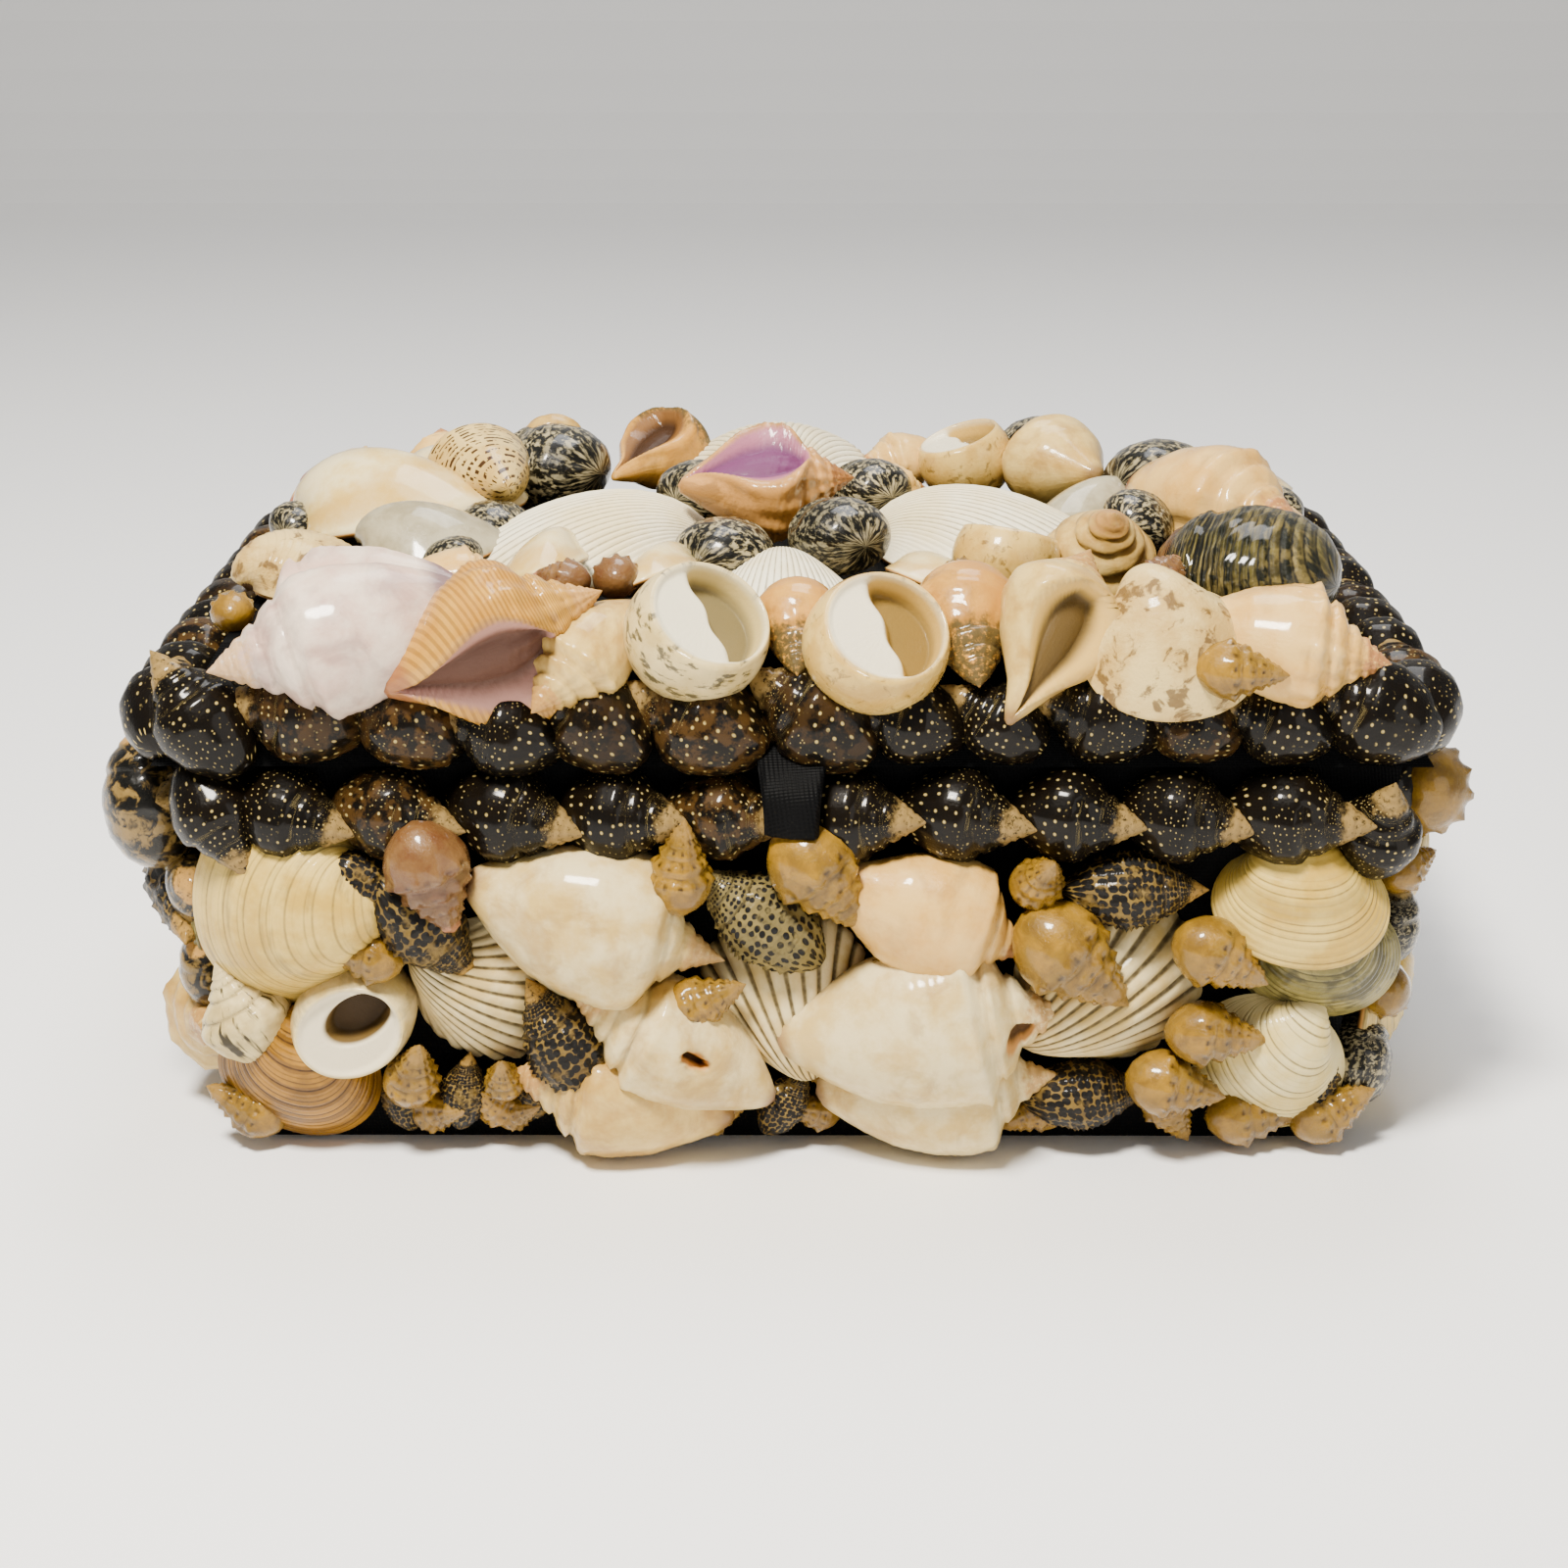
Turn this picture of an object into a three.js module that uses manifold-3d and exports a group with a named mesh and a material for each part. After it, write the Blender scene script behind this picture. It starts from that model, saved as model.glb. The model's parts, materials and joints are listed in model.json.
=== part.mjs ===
// Keepsake box covered with sea shells: a cloth-covered board box that flares towards its rim, a hip-sided lid on a
// cloth hinge along the back, a ribbon tab to lift it by, and shells bedded on every face.
// Millimetres, +Z up, +Y to the hinge side. The origin is the centre of the flat underside.
import * as THREE from "three";
import { mergeVertices } from "three/addons/utils/BufferGeometryUtils.js";
import Module from "manifold-3d";

const wasm = await Module();
wasm.setup();

// ---- driving dimensions ----
const BOARD = 4; // thickness of walls, floor and lid board
const BASE_HEIGHT = 78;
const SHELL_DATUM = 3; // height above the underside from which shells on the base are set out
const BASE_FOOT = { x: 101, y: 64 }; // half sizes of the underside
const BASE_RIM = { x: 111, y: 72 }; // half sizes at the seam
const SEAM = 0.5; // clear gap between the rim and the closed lid
const LID_HEIGHT = 20;
const LID_OVERHANG = { x: 5, y: 3 }; // past the base's rim at the ends and the front; flush at the hinge
const LID_SLOPE = 12; // how far each side leans in over the lid's height
const LID_BOTTOM = BASE_HEIGHT + SEAM;
const LID_TOP = LID_BOTTOM + LID_HEIGHT;
const HINGE_Y = BASE_RIM.y;
const CLEAR = 0.45; // between solids that only touch
const DETAIL = 0.08; // slivers smaller than this are dropped where one shell is cut clear of the next
const CLOTH = 0.8; // thickness of the hinge cloth
const CLOTH_WIDTH = 190;
const CLOTH_START = 2; // clear of the hinge line, so that the two leaves never meet
const CLOTH_REACH = 11; // how far each leaf runs from there

const radians = THREE.MathUtils.degToRad;
const sway = (i, k) => Math.sin(i * 2.4 + k * 1.7); // an even, repeatable variation from -1 to 1

// ---- solids ----
function solidOf(geometry) {
  const bare = geometry.clone();
  bare.deleteAttribute("normal");
  bare.deleteAttribute("uv");
  const merged = mergeVertices(bare, 1e-4);
  const corners = Array.from(merged.index.array);
  const kept = [];
  for (let i = 0; i < corners.length; i += 3) {
    const [a, b, c] = corners.slice(i, i + 3);
    if (a !== b && b !== c && a !== c) kept.push(a, b, c);
  }
  return new wasm.Manifold(
    new wasm.Mesh({
      numProp: 3,
      vertProperties: new Float32Array(merged.attributes.position.array),
      triVerts: new Uint32Array(kept),
    }),
  );
}

function geometryOf(solid) {
  const mesh = solid.getMesh();
  const geometry = new THREE.BufferGeometry();
  geometry.setAttribute("position", new THREE.BufferAttribute(new Float32Array(mesh.vertProperties), 3));
  geometry.setIndex(new THREE.BufferAttribute(new Uint32Array(mesh.triVerts), 1));
  geometry.computeVertexNormals();
  return geometry;
}

const largest = (solid) => solid.decompose().sort((a, b) => b.volume() - a.volume())[0];

const reshaped = (geometry, move) => {
  const at = geometry.attributes.position;
  for (let i = 0; i < at.count; i++) at.setXYZ(i, ...move(at.getX(i), at.getY(i), at.getZ(i)));
  return geometry;
};

// A four-sided block whose plan changes evenly from foot to head; each plan is { x, back, front }.
function hipBlock(foot, head, low, high) {
  return reshaped(new THREE.BoxGeometry(1, 1, 1), (x, y, z) => {
    const rise = z + 0.5;
    const mix = (key) => foot[key] + (head[key] - foot[key]) * rise;
    return [2 * x * mix("x"), y > 0 ? mix("back") : -mix("front"), low + (high - low) * rise];
  });
}

const plan = (x, back, front) => ({ x, back, front });
const inset = (p, by) => plan(p.x - by, p.back - by, p.front - by);

const baseFoot = plan(BASE_FOOT.x, BASE_FOOT.y, BASE_FOOT.y);
const baseRim = plan(BASE_RIM.x, BASE_RIM.y, BASE_RIM.y);
const lidFoot = plan(BASE_RIM.x + LID_OVERHANG.x, BASE_RIM.y, BASE_RIM.y + LID_OVERHANG.y);
const lidHead = inset(lidFoot, LID_SLOPE);

function boxBoards() {
  const outer = solidOf(hipBlock(baseFoot, baseRim, 0, BASE_HEIGHT));
  const inner = solidOf(hipBlock(inset(baseFoot, BOARD), inset(baseRim, BOARD), BOARD, BASE_HEIGHT + 0.01));
  return outer.subtract(inner);
}

function lidBoards() {
  const outer = solidOf(hipBlock(lidFoot, lidHead, LID_BOTTOM, LID_TOP));
  const inner = solidOf(
    hipBlock(inset(lidFoot, BOARD), inset(lidHead, BOARD), LID_BOTTOM - 0.01, LID_TOP - BOARD),
  );
  return outer.subtract(inner);
}

// ---- shell bodies, one unit long, apex or umbo along +X, outer side along +Z ----
// Profiles run from the front tip (0) to the apex (1) as [place along the axis, share of the half width].
const SNAILS = {
  conch: { width: 0.5, height: 0.44, sides: 8, knobs: 0.08, shoulder: 0.64,
    line: [[0, 0.12], [0.14, 0.5], [0.34, 0.88], [0.54, 1], [0.64, 0.92], [0.7, 0.56], [0.8, 0.44], [0.84, 0.26], [1, 0.04]] },
  whelk: { width: 0.6, height: 0.52, sides: 8, knobs: 0.04, shoulder: 0.62,
    line: [[0, 0.12], [0.18, 0.5], [0.4, 0.94], [0.62, 1], [0.7, 0.66], [0.8, 0.5], [0.85, 0.3], [1, 0.04]] },
  dove: { width: 0.72, height: 0.6, sides: 6, knobs: 0, shoulder: 0.5,
    line: [[0, 0.4], [0.26, 0.94], [0.6, 0.92], [1, 0.06]] },
  drupe: { width: 0.6, height: 0.5, sides: 8, knobs: 0.05, shoulder: 0.5,
    line: [[0, 0.2], [0.18, 0.76], [0.5, 1], [0.76, 0.78], [1, 0.1]] },
  cone: { width: 0.66, height: 0.55, sides: 8, knobs: 0, shoulder: 0.7,
    line: [[0, 0.2], [0.35, 0.74], [0.7, 1], [0.8, 0.8], [1, 0.05]] },
};
const DOME = [[0.94, -0.12], [1, 0], [0.86, 0.52], [0.5, 0.88]];
const VALVES = {
  cockle: { width: 1, height: 0.32, sides: 18, ribs: 0.05, line: DOME },
  petal: { width: 0.96, height: 0.26, sides: 18, ribs: 0.02, line: DOME },
  venus: { width: 1.18, height: 0.42, sides: 12, ribs: 0, line: DOME },
};
const ROUNDS = {
  nerite: { width: 0.86, height: 0.62, sides: 10, mouth: false },
  moon: { width: 0.8, height: 0.58, sides: 10, mouth: false },
  mouth: { width: 0.94, height: 0.6, sides: 10, mouth: true },
};

function snail({ width, height, sides, knobs, shoulder, line }) {
  const outline = [[0, 0], ...line, [1, 0]].map(([along, share]) => new THREE.Vector2((share * width) / 2, along - 0.5));
  const turned = new THREE.LatheGeometry(outline, sides);
  turned.rotateZ(-Math.PI / 2);
  return reshaped(turned, (x, y, z) => {
    const step = Math.round((Math.atan2(z, y) * sides) / (2 * Math.PI));
    const swell = Math.abs(x + 0.5 - shoulder) < 0.01 ? 1 + knobs * Math.cos(step * Math.PI) : 1;
    return [x, y * swell, (z * swell * height) / width];
  });
}

function valve({ width, height, sides, ribs, line }) {
  const outline = [[0, -0.12], ...line, [0, 1]].map(([share, rise]) => new THREE.Vector2(share / 2, rise * height));
  const turned = new THREE.LatheGeometry(outline, sides);
  turned.rotateX(Math.PI / 2);
  return reshaped(turned, (x, y, z) => {
    const round = Math.atan2(y, x);
    const flute = 1 + ribs * Math.cos((round * sides) / 2);
    const peak = 1 + 0.1 * Math.max(0, Math.cos(round)) ** 3;
    const towardsUmbo = 0.24 * Math.max(0, z / height);
    return [x * flute * peak + towardsUmbo * (1 - Math.hypot(x, y)), y * flute * width, z];
  });
}

function round({ width, height, sides, mouth }) {
  const ball = new THREE.SphereGeometry(0.5, sides, Math.round(sides * 0.6));
  ball.rotateX(Math.PI / 2);
  reshaped(ball, (x, y, z) => [x * (1 - 0.12 * z), y * width, z * height * 2 * (z < 0 ? 0.5 : 0.62)]);
  if (!mouth) return ball;
  const cup = new THREE.SphereGeometry(0.5, 10, 6);
  cup.scale(0.44, 0.66, 0.6);
  cup.translate(-0.14, 0, 0.34);
  const face = new THREE.BoxGeometry(2, 2, 1);
  face.translate(0, 0, 0.5 + 0.22);
  return geometryOf(solidOf(ball).subtract(solidOf(cup)).subtract(solidOf(face)));
}

// A shell with its opening turned outwards: the mouth is hollowed into the outer side.
function openSnail(kind) {
  const { width, height } = SNAILS[kind];
  const slot = new THREE.SphereGeometry(0.5, 8, 6);
  slot.scale(0.62, width * 0.42, height * 0.7);
  slot.translate(-0.1, -0.02, height * 0.5);
  return geometryOf(solidOf(snail(SNAILS[kind])).subtract(solidOf(slot)));
}

// A plainer shape with fewer sides and every other ring, for the faces turned away.
const plainer = (shape) => ({
  ...shape,
  sides: Math.max(5, Math.round(shape.sides * 0.6)),
  line: shape.line?.filter((_, i) => i % 2 === 0 || i === shape.line.length - 1),
  plain: true,
});

function shellGeometry({ kind, open, plain }) {
  if (open) return openSnail(kind);
  const shape = SNAILS[kind] ?? VALVES[kind] ?? ROUNDS[kind];
  const used = plain ? plainer(shape) : shape;
  if (SNAILS[kind]) return snail(used);
  return VALVES[kind] ? valve(used) : round(used);
}

// ---- faces that the shells lie on: right, up and outward as seen by someone looking at the face ----
function facing(origin, right, out) {
  const u = new THREE.Vector3(...right).normalize();
  const n = new THREE.Vector3(...out).normalize();
  const v = new THREE.Vector3().crossVectors(n, u).normalize();
  return new THREE.Matrix4().makeBasis(u, v, n).setPosition(...origin);
}
const LEAN_X = (BASE_RIM.x - BASE_FOOT.x) / BASE_HEIGHT;
const LEAN_Y = (BASE_RIM.y - BASE_FOOT.y) / BASE_HEIGHT;
const lidSlopeLean = LID_SLOPE / LID_HEIGHT;
const EDGE = 4; // depth at which the border shells' plane cuts the lid's top edge
const FACES = {
  lidTop: facing([0, 0, LID_TOP], [1, 0, 0], [0, 0, 1]),
  lidBorder: facing([0, -lidHead.front - EDGE, LID_TOP - EDGE], [1, 0, 0], [0, -1, 0.84]),
  lidFront: facing([0, -lidFoot.front, LID_BOTTOM], [1, 0, 0], [0, -1, lidSlopeLean]),
  lidLeft: facing([-lidFoot.x, 0, LID_BOTTOM], [0, -1, 0], [-1, 0, lidSlopeLean]),
  lidRight: facing([lidFoot.x, 0, LID_BOTTOM], [0, 1, 0], [1, 0, lidSlopeLean]),
  boxFront: facing([0, -BASE_FOOT.y - LEAN_Y * SHELL_DATUM, SHELL_DATUM], [1, 0, 0], [0, -1, -LEAN_Y]),
  boxBack: facing([0, BASE_FOOT.y + LEAN_Y * SHELL_DATUM, SHELL_DATUM], [-1, 0, 0], [0, 1, -LEAN_Y]),
  boxLeft: facing([-BASE_FOOT.x - LEAN_X * SHELL_DATUM, 0, SHELL_DATUM], [0, -1, 0], [-1, 0, -LEAN_X]),
  boxRight: facing([BASE_FOOT.x + LEAN_X * SHELL_DATUM, 0, SHELL_DATUM], [0, 1, 0], [1, 0, -LEAN_X]),
};

// One shell: kind, place on its face [right, up, out], length, the way its apex points in degrees anticlockwise,
// and where needed its lean out of the face, its roll about its own axis, and an opening that shows.
const shell = (kind, at, size, turn, more = {}) => ({ kind, at, size, turn, lean: 0, roll: 0, ...more });

function localMatrix({ at, turn, lean, roll }) {
  return new THREE.Matrix4()
    .makeTranslation(...at)
    .multiply(new THREE.Matrix4().makeRotationZ(radians(turn)))
    .multiply(new THREE.Matrix4().makeRotationY(radians(-lean)))
    .multiply(new THREE.Matrix4().makeRotationX(radians(roll)));
}

function shellSolid(face, spec, grow) {
  const body = shellGeometry(spec);
  body.scale(spec.size, spec.size, spec.size);
  if (grow) {
    body.computeBoundingBox();
    const size = body.boundingBox.getSize(new THREE.Vector3());
    body.scale(...["x", "y", "z"].map((k) => (size[k] + 2 * grow) / size[k]));
  }
  return solidOf(body.applyMatrix4(localMatrix(spec)).applyMatrix4(FACES[face]));
}

// ---- single shells, each a piece of its own ----
const LID_SHELLS = {
  lidTop: {
    centre_violet_shell: shell("whelk", [-5, -8, 18], 34, 10, { roll: 20, open: true }),
    centre_nerite_left: shell("nerite", [-13, -29, 8], 21, 60),
    centre_nerite_right: shell("nerite", [9, -25, 11], 21, 120),
    centre_nerite_back_left: shell("nerite", [-19, 14, 11], 19, 60),
    centre_nerite_back_right: shell("nerite", [16, 12, 12], 18, 120),
    petal_left: shell("petal", [-42, -4, 2], 48, 0),
    petal_right: shell("petal", [41, 2, 2], 48, 180),
    petal_back: shell("petal", [-3, 45, 8], 43, 270, { lean: -18 }),
    petal_front: shell("petal", [-2, -42, 1], 36, 90),
    moon_shell_left: shell("moon", [-84, 14, 7], 38, 60),
    spotted_cone_left: shell("cone", [-64, 22, 10], 30, 110),
    striped_clam_left: shell("venus", [-92, -30, 3], 26, 200),
    speckled_nerite_back: shell("nerite", [-53, 48, 9], 26, 150),
    tan_conch_back: shell("conch", [-30, 55, 13], 34, 60, { open: true, lean: 20 }),
    upturned_nerite_back: shell("mouth", [38, 50, 11], 21, 20, { lean: 20 }),
    cream_whelk_back: shell("whelk", [57, 45, 13], 34, 120),
    blush_conch_right: shell("conch", [86, 8, 10], 46, -50),
    banded_nerite_right: shell("nerite", [86, -40, 7], 36, 150),
    upturned_nerite_right: shell("mouth", [41, -33, 8], 22, 60, { lean: -20 }),
  },
  lidBorder: {
    upturned_nerite_speckled: shell("mouth", [-17, 2, 11], 27, 200),
    upturned_nerite_cream: shell("mouth", [15, 0, 11], 27, 200),
    open_conch_front: shell("conch", [46, 2, 12], 36, 75, { open: true }),
    lilac_conch_front: shell("conch", [-79, 2, 11], 52, 200, { roll: 10 }),
    ribbed_whelk_front: shell("whelk", [-53, 0, 10], 42, 25, { open: true }),
    spotted_clam_front: shell("venus", [65, -1, 7], 24, 120),
    blush_conch_front: shell("conch", [88, 1, 8], 40, -12),
    tan_conch_front: shell("conch", [26, 8, 6], 32, 290),
    pale_conch_front: shell("conch", [-36, 1, 6], 30, 240),
    small_conch_front: shell("conch", [0, 6, 5], 24, 270),
  },
};
const BOX_SHELLS = {
  boxFront: {
    cream_conch_upper_left: shell("conch", [-36, 47, 8], 49, -18),
    blush_conch_upper: shell("conch", [27, 48, 8], 38, -12),
    white_conch_lower_right: shell("conch", [25, 26, 9], 56, 10, { roll: 10 }),
    white_conch_lower_left: shell("conch", [-24, 22, 9], 45, 148),
    cream_conch_foot_left: shell("conch", [-32, 9, 8], 44, 172),
    cream_conch_foot_right: shell("conch", [29, 10.5, 7], 46, 6),
    grey_drupe_centre: shell("drupe", [-6, 48, 7], 30, 140),
    grey_drupe_right: shell("drupe", [63, 53, 6], 27, 0),
    grey_drupe_slanted: shell("drupe", [-42, 23, 9], 29, 118),
    streaked_whelk_corner: shell("whelk", [-102, 25, 4], 24, 115),
    cream_clam_upper_left: shell("venus", [-93, 49, 2], 33, 5),
    cream_clam_upper_right: shell("venus", [91, 51, 4], 27, 95, { lean: -25 }),
    olive_clam_right: shell("venus", [98, 37, 1.5], 26, 100),
    white_clam_lower_right: shell("venus", [90, 16, 2.5], 25, 60),
    orange_clam_lower_left: shell("venus", [-92, 12, 2], 24, 80),
    white_nerite_ring: shell("mouth", [-82, 26, 6], 25, 215),
    ribbed_cockle_left: shell("cockle", [-56, 30, 1], 30, 150),
    ribbed_cockle_centre: shell("cockle", [-1, 30, 1], 32, 285),
    ribbed_cockle_right: shell("cockle", [59, 32, 1], 35, 215),
  },
};

// ---- rows and covered sides, where each shell touches the next and the run is one solid ----
function darkRow(span, pitch, up, turn, size, plain = false) {
  const count = Math.round(span / pitch);
  const place = (i) => [(i - (count - 1) / 2) * pitch, up + 0.6 * sway(i, 1), plain ? 3 : 4.5];
  return Array.from({ length: count }, (_, i) => shell("dove", place(i), size, turn + 5 * sway(i, 3), { plain }));
}

const SIDE_KINDS = ["venus", "conch", "nerite", "cockle", "drupe"];
function sideCover(span, rows, pitch) {
  const count = Math.floor(span / pitch);
  return rows.flatMap((up, row) =>
    Array.from({ length: count }, (_, i) => {
      const kind = SIDE_KINDS[(i * 2 + row * 3) % SIDE_KINDS.length];
      const long = kind === "conch" || kind === "drupe";
      const at = [(i - (count - 1) / 2) * pitch + 1.5 * sway(i, row), up + sway(i, row + 4), long ? 8 : 5];
      const turn = long ? 20 * sway(i, row + 1) : 90 + 40 * sway(i, row + 2);
      return shell(kind, at, pitch * (long ? 1.4 : 1.18), turn, { plain: true });
    }),
  );
}
const boxSide = [...darkRow(134, 18.5, 66.5, 0, 21, true), ...sideCover(130, [17, 45], 30)];
const cornerNerite = shell("nerite", [52, 64, 11], 28, 100, { plain: true });
const cornerWhelk = shell("whelk", [-55, 66, 11], 27, -30, { plain: true, lean: 30 });
const boxBack = [...darkRow(210, 18.5, 53, 0, 20, true), ...sideCover(208, [17, 37], 33)];

const RUNS = {
  lidFront: { lid_dark_row_front: darkRow(228, 16.4, 9, 165, 23) },
  lidLeft: { lid_dark_row_left: darkRow(138, 16, 8, 165, 22, true) },
  lidRight: { lid_dark_row_right: darkRow(138, 16, 8, 165, 22, true) },
  boxFront: { box_dark_row_front: darkRow(228, 18.6, 66.5, 0, 21) },
  boxLeft: { box_left_shells: [...boxSide, cornerNerite] },
  boxRight: { box_right_shells: [...boxSide, cornerWhelk] },
  boxBack: { box_back_shells: boxBack },
};

// ---- cloth parts ----
// The ribbon's side view as [outward, upward] from the lid's front bottom edge: down the rim, over the dark row, hanging.
const RIBBON_PATH = [[-0.6, 5], [2, 4], [6.5, 1.5], [9.4, -2.5], [10.4, -10.5]];
const RIBBON_WIDTH = 14;
const RIBBON_THICK = 1.4; // both runs of the folded loop together

function ribbonTab() {
  const inner = RIBBON_PATH.map(([out, up], i) => [out - (i ? RIBBON_THICK : 0), up - (i < 3 ? RIBBON_THICK : 0)]);
  const outline = [...RIBBON_PATH, ...inner.reverse()].map(([out, up]) => new THREE.Vector2(out, up));
  const tab = new THREE.ExtrudeGeometry(new THREE.Shape(outline), { depth: RIBBON_WIDTH, bevelEnabled: false });
  tab.applyMatrix4(new THREE.Matrix4().set(0, 0, -1, RIBBON_WIDTH / 2, -1, 0, 0, 0, 0, 1, 0, 0, 0, 0, 0, 1));
  tab.translate(0, -lidFoot.front, LID_BOTTOM);
  return solidOf(tab);
}

function hingeLeaf(rise, lean) {
  const leaf = new THREE.BoxGeometry(CLOTH_WIDTH, CLOTH, CLOTH_REACH);
  leaf.translate(0, CLOTH / 2 + CLEAR, rise * (CLOTH_START + CLOTH_REACH / 2));
  leaf.rotateX(lean);
  leaf.translate(0, HINGE_Y, rise > 0 ? LID_BOTTOM : BASE_HEIGHT);
  return solidOf(leaf);
}

// ---- assembly ----
const FINISH = {
  conch: ["#e6dccb", 0.35], whelk: ["#d9b98c", 0.4], dove: ["#17140f", 0.18], tan: ["#b9814e", 0.3],
  drupe: ["#7d766a", 0.6], cone: ["#ddd2bd", 0.35], cockle: ["#ece7dd", 0.55], petal: ["#f2efe8", 0.45],
  venus: ["#d9cba9", 0.4], nerite: ["#6b6a64", 0.3], moon: ["#ece4d6", 0.2], mouth: ["#e9dfc8", 0.3],
  cloth: ["#101114", 0.85],
};
const finish = (kind) => new THREE.MeshStandardMaterial({ color: FINISH[kind][0], roughness: FINISH[kind][1], metalness: 0 });

const keepsakeBox = new THREE.Group();
const boxGroup = new THREE.Group();
const lidGroup = new THREE.Group();
keepsakeBox.add(boxGroup, lidGroup);

const taken = []; // what later shells are cut clear of
const block = (foot, head, low, high) =>
  solidOf(hipBlock(inset(foot, -CLEAR), inset(head, -CLEAR), low - CLEAR, high + CLEAR));
taken.push(block(baseFoot, baseRim, 0, BASE_HEIGHT), block(lidFoot, lidHead, LID_BOTTOM, LID_TOP));

function addSolid(group, name, solid, kind) {
  const mesh = new THREE.Mesh(geometryOf(solid), finish(kind));
  mesh.name = name;
  group.add(mesh);
}

function addShells(group, face, name, specs) {
  let solid = specs.map((s) => shellSolid(face, s, 0)).reduce((a, b) => a.add(b));
  for (const other of taken) if (solid.intersect(other).volume() > 0) solid = solid.subtract(other);
  taken.push(specs.map((s) => shellSolid(face, s, CLEAR)).reduce((a, b) => a.add(b)));
  const inFace = FACES[face].clone().invert();
  const bare = largest(solid).simplify(DETAIL);
  const mesh = new THREE.Mesh(geometryOf(bare).applyMatrix4(inFace), finish(specs[0].kind));
  mesh.applyMatrix4(FACES[face]);
  mesh.name = name;
  group.add(mesh);
}

addSolid(boxGroup, "box_boards", boxBoards(), "cloth");
addSolid(lidGroup, "lid_boards", lidBoards(), "cloth");
addSolid(boxGroup, "hinge_cloth_box", hingeLeaf(-1, -Math.atan(LEAN_Y)), "cloth");
addSolid(lidGroup, "hinge_cloth_lid", hingeLeaf(1, Math.atan(lidSlopeLean)), "cloth");
const ribbon = ribbonTab();
addSolid(lidGroup, "pull_ribbon", ribbon, "cloth");
for (const [x, y, z] of [[1, 0, 0], [-1, 0, 0], [0, 1, 0], [0, -1, 0], [0, 0, -1]])
  taken.push(ribbon.translate(x * CLEAR, y * CLEAR, z * CLEAR));

const groupOf = (face) => (face.startsWith("lid") ? lidGroup : boxGroup);
for (const [face, runs] of Object.entries(RUNS))
  for (const [name, specs] of Object.entries(runs)) addShells(groupOf(face), face, name, specs);
for (const faces of [LID_SHELLS, BOX_SHELLS])
  for (const [face, shells] of Object.entries(faces))
    for (const [name, spec] of Object.entries(shells)) addShells(groupOf(face), face, name, [spec]);

export default keepsakeBox;
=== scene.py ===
# %% [markdown]
# # A keepsake box covered with sea shells
# Souvenir makers covered plain board boxes with black book cloth and then bedded
# shells into glue over every face. The board part is simple. What makes the object
# is its skin of shells: coiled ones, clam and cockle valves, round nerites.
# Each real shell is a growth curve, so here every kind is one formula on a grid.

# %% Load the frame
import functools
import json
import math
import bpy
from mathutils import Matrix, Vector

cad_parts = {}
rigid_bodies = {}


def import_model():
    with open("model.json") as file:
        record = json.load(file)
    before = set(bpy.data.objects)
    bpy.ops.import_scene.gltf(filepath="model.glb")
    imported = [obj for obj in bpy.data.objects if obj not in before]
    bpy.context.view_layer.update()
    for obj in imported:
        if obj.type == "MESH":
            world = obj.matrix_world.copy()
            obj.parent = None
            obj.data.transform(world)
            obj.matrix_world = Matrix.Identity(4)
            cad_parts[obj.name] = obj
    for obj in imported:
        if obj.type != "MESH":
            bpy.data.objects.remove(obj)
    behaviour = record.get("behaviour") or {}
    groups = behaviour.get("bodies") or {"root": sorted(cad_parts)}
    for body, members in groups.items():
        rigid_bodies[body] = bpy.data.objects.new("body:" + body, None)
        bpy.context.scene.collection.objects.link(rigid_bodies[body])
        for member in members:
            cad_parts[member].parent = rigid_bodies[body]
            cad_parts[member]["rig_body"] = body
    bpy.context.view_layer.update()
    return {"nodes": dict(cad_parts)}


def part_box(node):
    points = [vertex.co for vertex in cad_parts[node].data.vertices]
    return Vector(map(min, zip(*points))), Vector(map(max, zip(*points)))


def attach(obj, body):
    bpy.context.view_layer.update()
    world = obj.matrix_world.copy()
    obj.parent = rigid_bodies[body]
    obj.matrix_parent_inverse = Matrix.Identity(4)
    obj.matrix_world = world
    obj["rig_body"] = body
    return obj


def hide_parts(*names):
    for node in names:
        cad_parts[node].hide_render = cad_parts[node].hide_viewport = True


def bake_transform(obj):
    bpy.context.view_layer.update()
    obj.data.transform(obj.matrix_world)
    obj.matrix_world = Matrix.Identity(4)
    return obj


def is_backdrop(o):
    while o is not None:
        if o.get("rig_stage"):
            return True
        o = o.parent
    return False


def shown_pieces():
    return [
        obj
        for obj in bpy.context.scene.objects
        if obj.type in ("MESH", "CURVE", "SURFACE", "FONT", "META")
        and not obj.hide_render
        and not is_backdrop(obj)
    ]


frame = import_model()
import types

import bpy
from mathutils import Vector
import numpy as np

MM = 0.001

# %% [markdown]
# ## Two curves that shape everything
# Sea shells have no sharp steps, so masks and outlines must fade. A smooth step
# blends from 0 to 1. A soft line reads a polyline at several nearby places and
# takes the mean, which rounds its corners without needing splines.

# %% Curves
def smooth(low, high, x):
    """0 below low, 1 above high, and 3t^2 - 2t^3 between, where t is the share of the way."""
    t = np.clip((x - low) / (high - low), 0.0, 1.0)
    return t * t * (3.0 - 2.0 * t)


def soft_line(stops, x, soft=0.03):
    """The polyline through the stops (place, value), read seven times over a short window and averaged."""
    place, value = np.array(stops).T
    return np.mean([np.interp(x + soft * k / 3, place, value) for k in range(-3, 4)], axis=0)


def bump(centre, width, x):
    """A bell: e to the minus square of the distance from centre in widths."""
    return np.exp(-(((x - centre) / width) ** 2))


def sway(i, k):
    """A repeatable variation from -1 to 1 for the i-th copy: the sine of a number that never repeats."""
    return math.sin(i * 2.4 + k * 1.7)


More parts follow.
